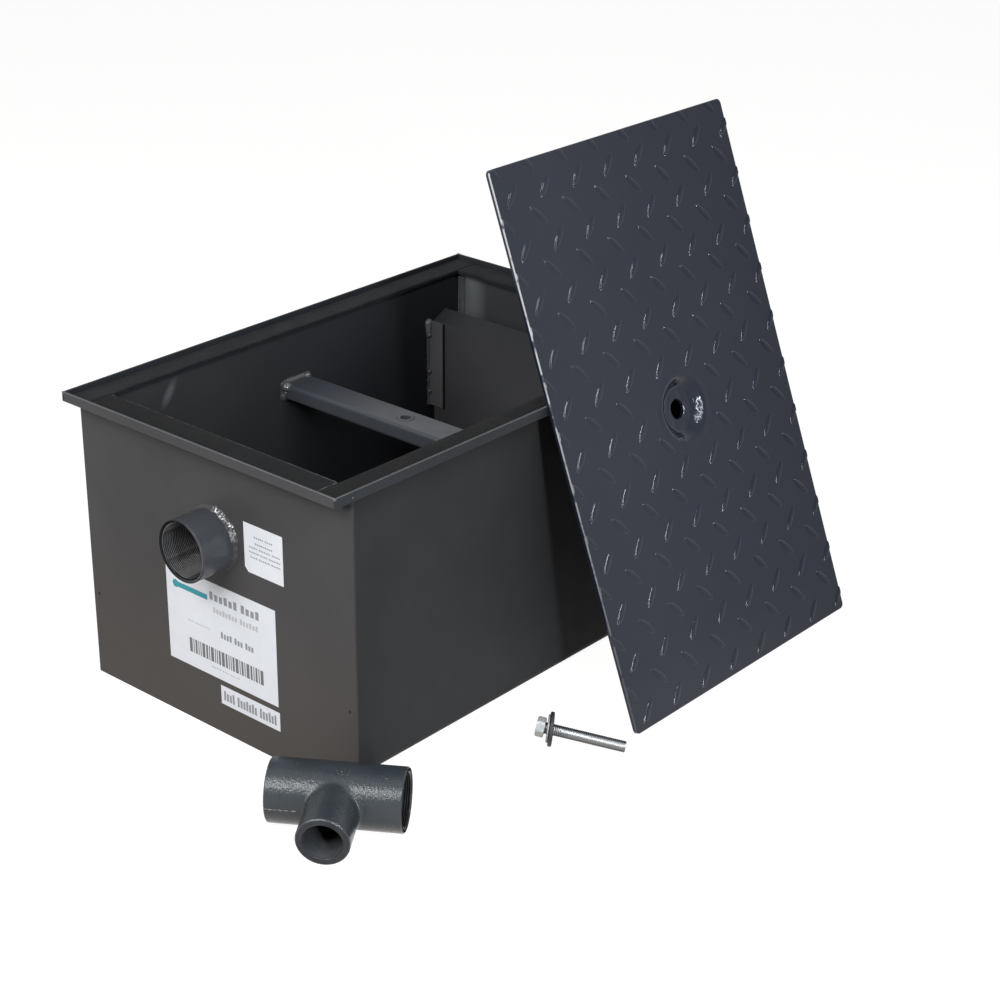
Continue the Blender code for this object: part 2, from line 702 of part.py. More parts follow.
def washer(name, radius, start, thickness, finish):
    edge = thickness / 8
    profile = ((WASHER_BORE, start), (radius - edge, start), (radius, start + edge),
               (radius, start + thickness - edge), (radius - edge, start + thickness),
               (WASHER_BORE, start + thickness))
    return add_object(name, turned(profile, WASHER_STEPS), finish, smooth=True)


def make_bolt_set(zinc, rubber):
    pose = bpy.data.objects.new("bolt_pose", None)
    bpy.context.scene.collection.objects.link(pose)
    pieces = list(make_bolt(zinc))
    pieces.append(washer("bolt_washer", STEEL_WASHER_RADIUS, STEEL_WASHER_START,
                         STEEL_WASHER_THICKNESS, zinc))
    rubber_start = STEEL_WASHER_START + STEEL_WASHER_THICKNESS + GAP
    pieces.append(washer("bolt_rubber_washer", RUBBER_WASHER_RADIUS, rubber_start,
                         RUBBER_WASHER_THICKNESS, rubber))
    pose.matrix_world = bolt_frame()
    for piece in pieces:
        piece.parent = pose


# Flow control tee

def branch_profile():
    """Outside of the branch, from inside the run to its mouth, flared where it meets the run."""
    start = TEE_RUN_RADIUS * 0.2
    end = TEE_RUN_RADIUS + 2 * TEE_FLARE
    profile = [(0.0, start)]
    for step in range(TEE_FLARE_STEPS + 1):
        share = step / TEE_FLARE_STEPS
        spread = TEE_FLARE * (1 - share) ** 2
        profile.append((TEE_BRANCH_RADIUS + spread, start + (end - start) * share))
    profile.append((TEE_BRANCH_RADIUS, TEE_BRANCH_REACH - TEE_EDGE))
    profile.append((TEE_BRANCH_RADIUS - TEE_EDGE, TEE_BRANCH_REACH))
    profile.append((0.0, TEE_BRANCH_REACH))
    return profile


def make_tee(paint):
    """Run along X, branch towards -Y. Both are turned, joined, then bored."""
    half = TEE_RUN_LENGTH / 2
    along_x = Matrix.Rotation(pi / 2, 4, 'Y')
    towards = Matrix.Rotation(pi / 2, 4, 'X')
    run_profile = ((0.0, -half), (TEE_RUN_RADIUS - TEE_EDGE, -half), (TEE_RUN_RADIUS, -half + TEE_EDGE),
                   (TEE_RUN_RADIUS, half - TEE_EDGE), (TEE_RUN_RADIUS - TEE_EDGE, half), (0.0, half))
    tee = add_object("flow_tee", moved(turned(run_profile, TEE_STEPS, closed=False), along_x), paint,
                     smooth=True)
    branch = add_object("cut_tee_branch", moved(turned(branch_profile(), TEE_STEPS, closed=False),
                                                towards), paint, smooth=True)
    deep = half - TEE_THREAD_DEPTH
    past = half + TEE_EDGE
    run_bore = ((0.0, -past), (TEE_THREAD_BORE, -past), (TEE_THREAD_BORE, -deep),
                (TEE_RUN_BORE, -deep), (TEE_RUN_BORE, deep), (TEE_THREAD_BORE, deep),
                (TEE_THREAD_BORE, past), (0.0, past))
    bore = add_object("cut_tee_run", moved(turned(run_bore, TEE_STEPS, closed=False), along_x), paint)
    branch_bore = ((0.0, 0.0), (TEE_BRANCH_BORE, 0.0), (TEE_BRANCH_BORE, TEE_BRANCH_REACH + TEE_EDGE),
                   (0.0, TEE_BRANCH_REACH + TEE_EDGE))
    side_bore = add_object("cut_tee_side", moved(turned(branch_bore, TEE_STEPS, closed=False),
                                                 towards), paint)
    add_boolean(tee, as_cutter(branch), 'UNION')
    add_boolean(tee, as_cutter(bore))
    add_boolean(tee, as_cutter(side_bore))
    return tee, branch, bore, side_bore


def make_orifice(steel):
    """Restrictor disc against the shoulder behind the thread at the run's left end."""
    seat = -(TEE_RUN_LENGTH / 2 - TEE_THREAD_DEPTH) - GAP
    outer = TEE_THREAD_BORE - GAP
    profile = ((ORIFICE_BORE, seat - ORIFICE_THICKNESS), (outer, seat - ORIFICE_THICKNESS),
               (outer, seat), (ORIFICE_BORE, seat))
    bm = moved(turned(profile, WASHER_STEPS), Matrix.Rotation(pi / 2, 4, 'Y'))
    return add_object("flow_orifice", bm, steel, smooth=True)


def make_flow_control(paint, steel):
    """The tee lies on its run, tipped until the branch's mouth touches the floor as well."""
    pose = bpy.data.objects.new("tee_pose", None)
    bpy.context.scene.collection.objects.link(pose)
    tilt = 2 * atan2(TEE_BRANCH_REACH - sqrt(TEE_BRANCH_REACH ** 2 - TEE_RUN_RADIUS ** 2
                                             + TEE_BRANCH_RADIUS ** 2),
                     TEE_RUN_RADIUS + TEE_BRANCH_RADIUS)
    pieces = list(make_tee(paint))
    pieces.append(make_orifice(steel))
    place = Matrix.Translation((TEE_AT[0], TEE_AT[1], TEE_RUN_RADIUS))
    pose.matrix_world = (place @ Matrix.Rotation(radians(TEE_HEADING), 4, 'Z')
                         @ Matrix.Rotation(tilt, 4, 'X'))
    for piece in pieces:
        piece.parent = pose


def main():
    clear_scene()
    paint = principled("tank_paint", PAINT)
    cast = principled("cast_paint", CAST_PAINT)
    foam = principled("gasket_foam", FOAM)
    zinc = principled("zinc_plate", ZINC)
    make_trough(paint)
    make_end_plate("outlet_end_plate", -1, paint)
    make_end_plate("inlet_end_plate", 1, paint)
    make_rim(paint)
    make_gasket(foam)
    make_coupling("outlet_coupling", -1, cast)
    make_coupling("inlet_coupling", 1, cast)
    make_port_weld("outlet_weld", -1, paint)
    make_port_weld("inlet_weld", 1, paint)
    make_crossbar(paint)
    make_bush(paint)
    make_guides(paint)
    make_inlet_baffle(paint)
    make_outlet_baffle(paint)
    make_cover(principled("cover_paint", COVER_PAINT))
    make_bolt_set(zinc, principled("washer_rubber", RUBBER))
    make_flow_control(cast, zinc)


main()
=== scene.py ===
"""Looks for the open grease trap: paint, castings, labels, threads, welds, light and camera."""
from math import atan2, cos, pi, radians, sin, sqrt

import bmesh
import bpy
from mathutils import Matrix, Vector, noise


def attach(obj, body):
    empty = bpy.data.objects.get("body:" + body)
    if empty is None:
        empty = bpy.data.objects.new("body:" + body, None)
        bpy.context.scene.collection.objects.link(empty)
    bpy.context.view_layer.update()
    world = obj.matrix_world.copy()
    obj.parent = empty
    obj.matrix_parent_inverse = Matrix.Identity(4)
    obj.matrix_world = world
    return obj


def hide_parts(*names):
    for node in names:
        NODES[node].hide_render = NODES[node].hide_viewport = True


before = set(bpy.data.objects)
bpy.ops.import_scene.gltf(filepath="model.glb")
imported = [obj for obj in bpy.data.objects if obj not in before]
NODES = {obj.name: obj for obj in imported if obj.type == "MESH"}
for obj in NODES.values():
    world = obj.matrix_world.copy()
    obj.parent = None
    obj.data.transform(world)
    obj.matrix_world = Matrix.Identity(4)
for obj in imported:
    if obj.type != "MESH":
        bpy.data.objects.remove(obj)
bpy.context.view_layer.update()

# Sizes in metres and angles in degrees. What the solids have too is as in the part's source
SHEET = 0.0025
WALL_INSIDE = 0.175
END_PLATE_FACE = 0.2895
END_PLATE_INSIDE = 0.287
WALL_TOP = 0.3337
RIM_WIDTH = 0.406
RIM_LENGTH = 0.624
RIM_TOP = 0.345
RIM_BOTTOM = 0.334
GASKET_LOW = 0.3373
GASKET_TOP = 0.3400
GASKET_OUTER = (0.2000, 0.3090)
GASKET_INNER = (0.1705, 0.2740)
COUPLING_HEIGHT = 0.2306
COUPLING_RADIUS = 0.0345
COUPLING_BORE = 0.0312
COUPLING_CHAMFER = 0.0018
COUPLING_OUTSIDE = 0.0433
COUPLING_INSIDE = 0.012
PORT_WELD_LEG = 0.0046
PORT_WELD_SINK = 0.0012
PORT_WELD_FULL_AT = 55.0
COUPLING_DEPTH = SHEET + COUPLING_INSIDE
PORT_LENGTH = COUPLING_DEPTH + COUPLING_OUTSIDE - COUPLING_CHAMFER
BAR_TOP = 0.2757
BAR_DEPTH = 0.019
BAR_WIDTH = 0.042
GUIDE_BOTTOM = 0.176
GUIDE_TOP = 0.2865
GUIDE_FRONT = 0.22575
GUIDE_SEEN_WIDTH = 0.0240
GUIDE_WIDER_BY = 0.0057
GUIDE_GAP = 0.0012
GUIDE_STRIP_DEPTH = 0.0022
GUIDE_TACKS = (0.268, 0.2205, 0.194)
OUTLET_BAFFLE_Y = -0.232
OUTLET_BAFFLE_BOTTOM = 0.045
OUTLET_BAFFLE_TOP = 0.285
COVER_WIDTH = 0.402
COVER_LENGTH = 0.620
COVER_THICKNESS = 0.0045
COVER_CORNER = 0.006
COVER_EDGE = 0.0007
COVER_LEAN = 20.64
GAP = 0.0003
STOCK_MARGIN = 0.03
LUG_LENGTH = 0.031
LUG_WIDTH = 0.0090
LUG_HEIGHT = 0.0013
LUG_SECTION = ((0.03, 0.12), (0.09, 0.45), (0.15, 0.80), (0.21, 0.96), (0.30, 1.02), (0.42, 1.05))
LUG_ANGLE = 48.0
LUG_PITCH = (0.0530, 0.0571)
LUG_SETS = (((0.0252, 0.5877), 1), ((0.0580, 0.5598), -1))
DISH_RADIUS = 0.0390
DISH_FLOOR_RADIUS = 0.0220
DISH_DEPTH = 0.0100
DISH_OFF_MIDDLE = (0.0065, -0.0045)
BOLT_HOLE_RADIUS = 0.011
BOLT_RADIUS = 0.00635
BOLT_LENGTH = 0.088
BOLT_POINT = 0.0012
HEAD_FLATS = 0.019
HEAD_HEIGHT = 0.0092
RUBBER_RADIUS = 0.0187
WASHER_END = 0.0093
WASHER_BORE = 0.0072
# Each washer is its node, look, slot, radius, place on the shank, thickness and lean in degrees
WASHERS = (("bolt_washer", "zinc", "zinc_plate", 0.0152, 0.0024, 0.0018, (-6.5, -2.8)),
           ("bolt_rubber_washer", "rubber", "washer_rubber", 0.0187, 0.0046, 0.0042, (-7.1, -3.1)))
THREAD_PITCH = 0.00221
THREAD_DEPTH = 0.0011
BOLT_PITCH = 0.00195
BOLT_THREAD_DEPTH = 0.00055
# Share of each thread turn that takes the painted shade copy
THREAD_DARK_SHARE = 0.66
BOLT_HEAD_AT = (0.2729, -0.0778)
BOLT_HEADING = 31.0
TEE_AT = (0.2180, -0.3318)
TEE_HEADING = 33.2
TEE_RUN_RADIUS = 0.0333
TEE_RUN_LENGTH = 0.1386
TEE_RUN_BORE = 0.0262
TEE_THREAD_BORE = 0.0285
TEE_THREAD_DEPTH = 0.024
TEE_BRANCH_RADIUS = 0.0276
TEE_BRANCH_REACH = 0.0781
TEE_BRANCH_BORE = 0.0198
TEE_EDGE = 0.0012
TEE_VOXEL = 0.0009
TEE_ROOT = 0.0075
TEE_ROOT_PASSES = 22
TEE_THREAD_START = 0.0008
TEE_THREAD_SHORT = {"left": 0.0052, "right": 0.0012}
LETTER_SHARE = 0.68
LETTER_HEIGHTS = (1.0, 0.80, 0.80, 1.0, 0.80)
CODE_BARS = (3, 1, 2, 1, 1, 3, 2, 1, 3, 1, 1, 2, 3, 2, 1, 1, 2, 3, 1, 2, 1, 3, 2, 1, 2, 1, 3)
CODE_GAP = 1.15
CODE_WIDTH = 0.1155
NO_TURN = (0.0, 0.0, 0.0)
HANDS = (("left", -1), ("right", 1))
PORTS = (("outlet", -1), ("inlet", 1))


# Frames of the loose pieces

def bolt_matrix():
    """Where the bolt lies, on the rubber washer's edge and on its own tip."""
    span = BOLT_LENGTH - BOLT_POINT - WASHER_END
    tilt = atan2(RUBBER_RADIUS - BOLT_RADIUS, span)
    height = RUBBER_RADIUS * cos(tilt) + WASHER_END * sin(tilt)
    return (Matrix.Translation((BOLT_HEAD_AT[0], BOLT_HEAD_AT[1], height))
            @ Matrix.Rotation(radians(BOLT_HEADING), 4, 'Z')
            @ Matrix.Rotation(tilt, 4, 'Y') @ Matrix.Rotation(pi / 2, 4, 'Y'))


def cover_matrix():
    """Where the cover leans on the rim, 0.3 mm off its top edge, with its foot on the floor."""
    lean = radians(COVER_LEAN)
    normal = Vector((cos(lean), 0, sin(lean)))
    up = Vector((-sin(lean), 0, cos(lean)))
    height = COVER_THICKNESS * sin(lean)
    reach = ((RIM_TOP - height) * sin(lean) + COVER_THICKNESS + GAP) / cos(lean)
    matrix = Matrix((Vector((0, 1, 0)), up, normal)).transposed().to_4x4()
    matrix.translation = Vector((RIM_WIDTH / 2 + reach, 0, height))
    return matrix


def dish_middle():
    """The dish's middle on the cover's own plane."""
    return Vector((COVER_WIDTH / 2 + DISH_OFF_MIDDLE[0], COVER_LENGTH / 2 + DISH_OFF_MIDDLE[1]))


# Materials

def feed(tree, node, inputs):
    """Link or set a node's inputs by name or number. None leaves an input as it is."""
    for key, value in inputs.items():
        if isinstance(value, bpy.types.NodeSocket):
            tree.links.new(value, node.inputs[key])
        elif value is not None:
            node.inputs[key].default_value = value


def add_node(tree, kind, output, inputs, **settings):
    """Add a node with its settings and inputs, and give one of its outputs."""
    made = tree.nodes.new(kind)
    for key, value in settings.items():
        setattr(made, key, value)
    feed(tree, made, inputs)
    return made.outputs[output]


class Recipe:
    """A small helper that builds a node material around one Principled shader."""

    def __init__(self, name):
        self.material = bpy.data.materials.new(name)
        self.material.use_nodes = True
        self.tree = self.material.node_tree
        self.shader = self.tree.nodes["Principled BSDF"]
        self.place = self.node("ShaderNodeTexCoord", "Object", {})

    def node(self, kind, output, inputs, **settings):
        return add_node(self.tree, kind, output, inputs, **settings)

    def noise(self, scale, detail=3.0, rough=0.55, stretch=None):
        place = self.place
        if stretch:
            place = self.node("ShaderNodeMapping", "Vector", {"Vector": place, "Scale": stretch})
        return self.node("ShaderNodeTexNoise", "Fac", {"Vector": place, "Scale": scale,
                                                       "Detail": detail, "Roughness": rough})

    def patches(self, first, second, scale, detail=4.0):
        """Soft patches between two colours."""
        return self.ramp(self.noise(scale, detail), ((0.3, first), (0.7, second)))

    def clouds(self, colour, low, high, scale, detail=4.0):
        """One colour in soft patches between its shades by the factors low and high."""
        return self.patches(shade(colour, low), shade(colour, high), scale, detail)

    def uneven(self, scale, detail, low, high):
        """A value that drifts between low and high over the surface."""
        return self.spread(self.noise(scale, detail), 0.3, 0.7, low, high)

    def ramp(self, factor, stops):
        made = self.tree.nodes.new("ShaderNodeValToRGB")
        elements = made.color_ramp.elements
        while len(elements) < len(stops):
            elements.new(0.5)
        for element, (position, colour) in zip(elements, stops):
            element.position = position
            element.color = (*colour, 1.0)
        feed(self.tree, made, {"Fac": factor})
        return made.outputs["Color"]

    def spread(self, value, low, high, new_low, new_high):
        """The value's range from low to high, drawn out to a new range and held at its ends."""
        return self.node("ShaderNodeMapRange", "Result", {"Value": value, "From Min": low,
                                                          "From Max": high, "To Min": new_low,
                                                          "To Max": new_high})

    def mix(self, factor, first, second, blend="MIX"):
        colours = [(*colour, 1.0) if isinstance(colour, tuple) else colour
                   for colour in (first, second)]
        return self.node("ShaderNodeMix", 2, {0: factor, 6: colours[0], 7: colours[1]},
                         data_type="RGBA", blend_type=blend)

    def multiply(self, first, second):
        return self.node("ShaderNodeMath", 0, {0: first, 1: second}, operation="MULTIPLY")

    def part(self, vector, name):
        return self.node("ShaderNodeSeparateXYZ", name, {0: vector})

    def axis(self, name):
        return self.part(self.place, name)

    def facing_up(self):
        """How far the surface faces up, from -1 to 1."""
        return self.part(self.node("ShaderNodeNewGeometry", "Normal", {}), "Z")

    def local(self, centre, turn, size=None):
        """The place as seen in a frame with its own middle, turn and size."""
        return self.node("ShaderNodeMapping", "Vector",
                         {"Vector": self.place, "Location": centre, "Rotation": turn, "Scale": size},
                         vector_type="TEXTURE")

    def spot(self, centre, size, turn=NO_TURN, core=0.25):
        """A soft edged mark: 1 in its middle and 0 at the given half sizes."""
        away = self.node("ShaderNodeVectorMath", "Value", {0: self.local(centre, turn, size)},
                         operation="LENGTH")
        return self.spread(away, core, 1.0, 1.0, 0.0)

    def bump(self, height, strength, distance, before=None):
        return self.node("ShaderNodeBump", "Normal", {"Height": height, "Strength": strength,
                                                      "Distance": distance, "Normal": before})

    def finish(self, colour=None, rough=None, normal=None, **others):
        feed(self.tree, self.shader, {"Base Color": colour, "Roughness": rough, "Normal": normal})
        feed(self.tree, self.shader, {key.replace("_", " "): value for key, value in others.items()})
        return self.material


def shade(colour, factor):
    return tuple(channel * factor for channel in colour)


def enamel(name, colour, rough, peel=0.10, painted_bounce_colour=None, mottle=0.12, specular=0.12, painted_light_spots=(),
           painted_top_shade=None):
    """Baked paint: cloudy tone, uneven gloss and a fine orange peel, with optional painted light: a
    warmer colour low down as painted floor bounce, a darker colour on faces that look up as painted
    shade, and soft spots of painted shadow, shade and highlight.
    """
    recipe = Recipe(name)
    clouds = recipe.clouds(colour, 1 - mottle, 1 + mottle, 7.0, 5.0)
    # Painted floor bounce: towards the bottom the colour runs into the given warmer colour
    if painted_bounce_colour:
        height = recipe.spread(recipe.axis("Z"), 0.0, 0.24, 1.0, 0.0)
        clouds = recipe.mix(height, clouds, painted_bounce_colour)
    # Painted shade: faces that look up take the given darker colour
    if painted_top_shade:
        lift = recipe.spread(recipe.facing_up(), 0.15, 0.40, 0.0, 1.0)
        clouds = recipe.mix(lift, clouds, painted_top_shade)
    # Painted shadow, shade and highlight: each spot blends in its own colour
    for centre, size, turn, mark in painted_light_spots:
        clouds = recipe.mix(recipe.spot(centre, size, turn), clouds, mark)
    rough_map = recipe.uneven(38.0, 4.0, rough - 0.05, rough + 0.07)
    wide = recipe.bump(recipe.noise(55.0, 2.0), 0.10, 0.0006)
    fine = recipe.bump(recipe.noise(620.0, 2.0), peel, 0.0003, wide)
    return recipe.finish(clouds, rough_map, fine, Specular_IOR_Level=specular)


def dull(name, colour):
    """Bare dirty metal in shade, without any shine."""
    recipe = Recipe(name)
    clouds = recipe.clouds(colour, 0.8, 1.2, 80.0)
    return recipe.finish(clouds, Roughness=0.8, Specular_IOR_Level=0.0, IOR=1.0)


def cover_enamel(name, colour, rough):
    """Baked paint on the tread plate, rubbed pale along its front edge on the tank's side; the pale
    edge, brighter higher up, is partly painted highlight.
    """
    recipe = Recipe(name)
    clouds = recipe.clouds(colour, 0.90, 1.10, 9.0, 5.0)
    lean = radians(COVER_LEAN)
    out = Vector((cos(lean), 0, sin(lean)))
    front = recipe.node("ShaderNodeVectorMath", "Value", {0: recipe.place, 1: out},
                        operation="DOT_PRODUCT")
    face = cover_matrix().translation.dot(out)
    at_front = recipe.spread(front, face - 0.0016, face - 0.0011, 0.0, 1.0)
    near_edge = recipe.spread(recipe.axis("Y"), 0.0009, 0.0015, 1.0, 0.0)
    # The pale edge grows brighter upwards: painted highlight on top of the wear
    height = recipe.spread(recipe.axis("Z"), 0.06, 0.40, 0.12, 1.0)
    patches = recipe.spread(recipe.noise(34.0, 3.0), 0.43, 0.49, 0.08, 1.0)
    wear_and_highlight = recipe.multiply(recipe.multiply(recipe.multiply(near_edge, at_front), height), patches)
    wear_and_highlight_colour = recipe.mix(wear_and_highlight, clouds, (0.42, 0.43, 0.44))
    shine = recipe.spread(recipe.axis("Y"), 0.08, 0.40, 0.35, 0.19)
    rough_map = recipe.uneven(38.0, 4.0, rough - 0.04, rough + 0.06)
    wide = recipe.bump(recipe.noise(55.0, 2.0), 0.08, 0.0006)
    pressed = recipe.spot(cover_matrix() @ dish_middle().to_3d(), (0.046, 0.046, 0.046), core=0.75)
    dents = recipe.multiply(recipe.noise(75.0, 2.0, 0.5), pressed)
    pulled = recipe.bump(dents, 0.60, 0.0022, wide)
    fine = recipe.bump(recipe.noise(620.0, 2.0), 0.07, 0.0003, pulled)
    return recipe.finish(wear_and_highlight_colour, rough_map, fine, Specular_IOR_Level=shine)


def port_enamel(name, colour, rough):
    """Glossy paint on a coupling, lighter below as a painted reflection. Its mouth runs from painted
    shade at the left to painted light at the right.
    """
    recipe = Recipe(name)
    clouds = recipe.clouds(colour, 0.92, 1.08, 26.0)
    # Painted reflection: faces that look down are lightened
    below = recipe.spread(recipe.facing_up(), 0.15, -0.35, 0.0, 0.5)
    clouds = recipe.mix(below, clouds, shade(colour, 2.2))
    away = recipe.node("ShaderNodeMath", 0, {0: recipe.axis("Y")}, operation="ABSOLUTE")
    face = END_PLATE_FACE + COUPLING_OUTSIDE
    mouth = recipe.spread(away, face - 0.0012, face - 0.0006, 0.0, 1.0)
    # Painted shade and light across the mouth and bore: dark at the left, light at the right
    lit = recipe.spread(recipe.axis("X"), -0.018, 0.022, 0.0, 1.0)
    rim = recipe.ramp(lit, ((0.0, (0.014, 0.015, 0.017)), (1.0, (0.060, 0.063, 0.069))))
    wide = COUPLING_BORE + COUPLING_CHAMFER + 0.0002
    inside = recipe.spot((0.0, 0.0, COUPLING_HEIGHT), (wide, 100.0, wide), core=0.98)
    colour_map = recipe.mix(inside, recipe.mix(mouth, clouds, rim), rim)
    shine = recipe.spread(away, face - 0.0012, face - 0.0006, 0.32, 0.0)
    shine = recipe.multiply(shine, recipe.spread(inside, 0.0, 1.0, 1.0, 0.0))
    rough_map = recipe.uneven(60.0, 4.0, rough - 0.05, rough + 0.07)
    fine = recipe.bump(recipe.noise(420.0, 3.0), 0.16, 0.0004)
    return recipe.finish(colour_map, rough_map, fine, Specular_IOR_Level=shine)


def streaked_enamel(name, colour, rough):
    """Paint over a long weld that was ground: pale runs up and down it."""
    recipe = Recipe(name)
    runs = recipe.noise(120.0, 3.0, 0.6, stretch=(1.0, 1.0, 0.06))
    clouds = recipe.ramp(runs, ((0.35, shade(colour, 0.75)), (0.68, shade(colour, 1.75))))
    normal = recipe.bump(runs, 0.25, 0.0006)
    return recipe.finish(clouds, None, normal, Roughness=rough, Specular_IOR_Level=0.30)


def casting(name, colour, rough):
    """Painted cast iron: pimply sand texture under a semi gloss coat, with a lighter warm colour on
    faces that look down as painted floor reflection.
    """
    recipe = Recipe(name)
    clouds = recipe.clouds(colour, 0.85, 1.15, 30.0)
    # Painted floor reflection: faces that look down take a lighter warm colour
    below = recipe.spread(recipe.facing_up(), -0.25, -0.75, 0.0, 0.8)
    clouds = recipe.mix(below, clouds, (0.088, 0.070, 0.058))
    rough_map = recipe.uneven(160.0, 3.0, rough - 0.06, rough + 0.10)
    coarse = recipe.bump(recipe.noise(380.0, 3.0, 0.6), 0.56, 0.0009)
    fine = recipe.bump(recipe.noise(900.0, 2.0), 0.22, 0.0003, coarse)
    return recipe.finish(clouds, rough_map, fine, Specular_IOR_Level=0.42)


def foam(name, level):
    """Grainy black foam with grey patches, dimmed by the level; a low level makes a painted shade
    copy.
    """
    recipe = Recipe(name)
    grain = recipe.noise(900.0, 3.0, 0.7)
    clouds = recipe.ramp(recipe.noise(24.0, 5.0, 0.7),
                         ((0.35, shade((0.013, 0.015, 0.018), level)),
                          (0.70, shade((0.031, 0.031, 0.032), level))))
    speck = recipe.ramp(grain, ((0.40, (0.35, 0.35, 0.35)), (0.72, (1.7, 1.7, 1.7))))
    colour = recipe.mix(1.0, clouds, speck, "MULTIPLY")
    soft = recipe.bump(recipe.noise(90.0, 3.0), 0.35, 0.0012)
    normal = recipe.bump(grain, 0.55, 0.0008, soft)
    return recipe.finish(colour, None, normal, Roughness=0.80, Specular_IOR_Level=0.12)


def zinc(name):
    recipe = Recipe(name)
    clouds = recipe.patches((0.35, 0.375, 0.39), (0.45, 0.47, 0.485), 120.0)
    # Painted floor reflection: faces that look down turn a lighter warm grey
    under = recipe.spread(recipe.facing_up(), 0.25, -0.35, 0.0, 0.8)
    colour = recipe.mix(under, clouds, (0.42, 0.41, 0.37))
    rough_map = recipe.uneven(300.0, 3.0, 0.30, 0.45)
    normal = recipe.bump(recipe.noise(1400.0, 2.0), 0.10, 0.0002)
    return recipe.finish(colour, rough_map, normal, Metallic=0.15)


def zinc_shank(name):
    """Zinc on the bolt's shank with painted reflections: dark along its top, a bright streak, and grey
    down to brown.
    """
    recipe = Recipe(name)
    matrix = bolt_matrix()
    below = recipe.part(recipe.local(matrix.translation, matrix.to_euler()), "X")
    lift = recipe.spread(below, BOLT_RADIUS, -BOLT_RADIUS, 0.0, 1.0)
    painted_reflection_bands = recipe.ramp(lift, ((0.0, (0.02, 0.018, 0.016)), (0.30, (0.05, 0.045, 0.04)),
                               (0.42, (0.17, 0.17, 0.165)), (0.66, (0.24, 0.245, 0.245)),
                               (0.77, (0.52, 0.54, 0.55)), (0.90, (0.42, 0.44, 0.46)),
                               (0.95, (0.07, 0.08, 0.095)), (1.0, (0.10, 0.115, 0.13))))
    return recipe.finish(painted_reflection_bands, Metallic=0.85, Roughness=0.36)


def rubber(name):
    recipe = Recipe(name)
    clouds = recipe.patches((0.012, 0.013, 0.016), (0.024, 0.026, 0.031), 200.0, 3.0)
    normal = recipe.bump(recipe.noise(1200.0, 2.0), 0.2, 0.0002)
    return recipe.finish(clouds, None, normal, Roughness=0.55)


def cut_thread(name, level, specular):
    """Oiled steel of a cut thread's flank. The level makes its lit and its shaded copy, which are
    painted light and shade, and faces that look up are darkened as painted shade.
    """
    recipe = Recipe(name)
    clouds = recipe.patches(shade((0.7, 0.7, 0.72), level), shade((1.3, 1.3, 1.32), level), 60.0)
    shaded = recipe.spread(recipe.facing_up(), -0.2, 0.9, 0.0, 0.40)
    clouds = recipe.mix(shaded, clouds, shade((0.2, 0.2, 0.23), level))
    rough_map = recipe.uneven(500.0, 2.0, 0.26, 0.42)
    return recipe.finish(clouds, rough_map, None, Specular_IOR_Level=specular)


def paper(name, colour):
    recipe = Recipe(name)
    clouds = recipe.clouds(colour, 0.97, 1.02, 60.0)
    normal = recipe.bump(recipe.noise(28.0, 2.0), 0.10, 0.0006)
    return recipe.finish(clouds, None, normal, Roughness=0.42)


def ink(name, colour):
    recipe = Recipe(name)
    return recipe.finish(recipe.clouds(colour, 0.85, 1.15, 500.0, 3.0), Roughness=0.45)


STEEL_PAINT = (0.0465, 0.0465, 0.0485)
# The outlet plate's warmer colour low down: painted warm floor bounce, not a second paint
PAINTED_FLOOR_BOUNCE = (0.061, 0.053, 0.049)
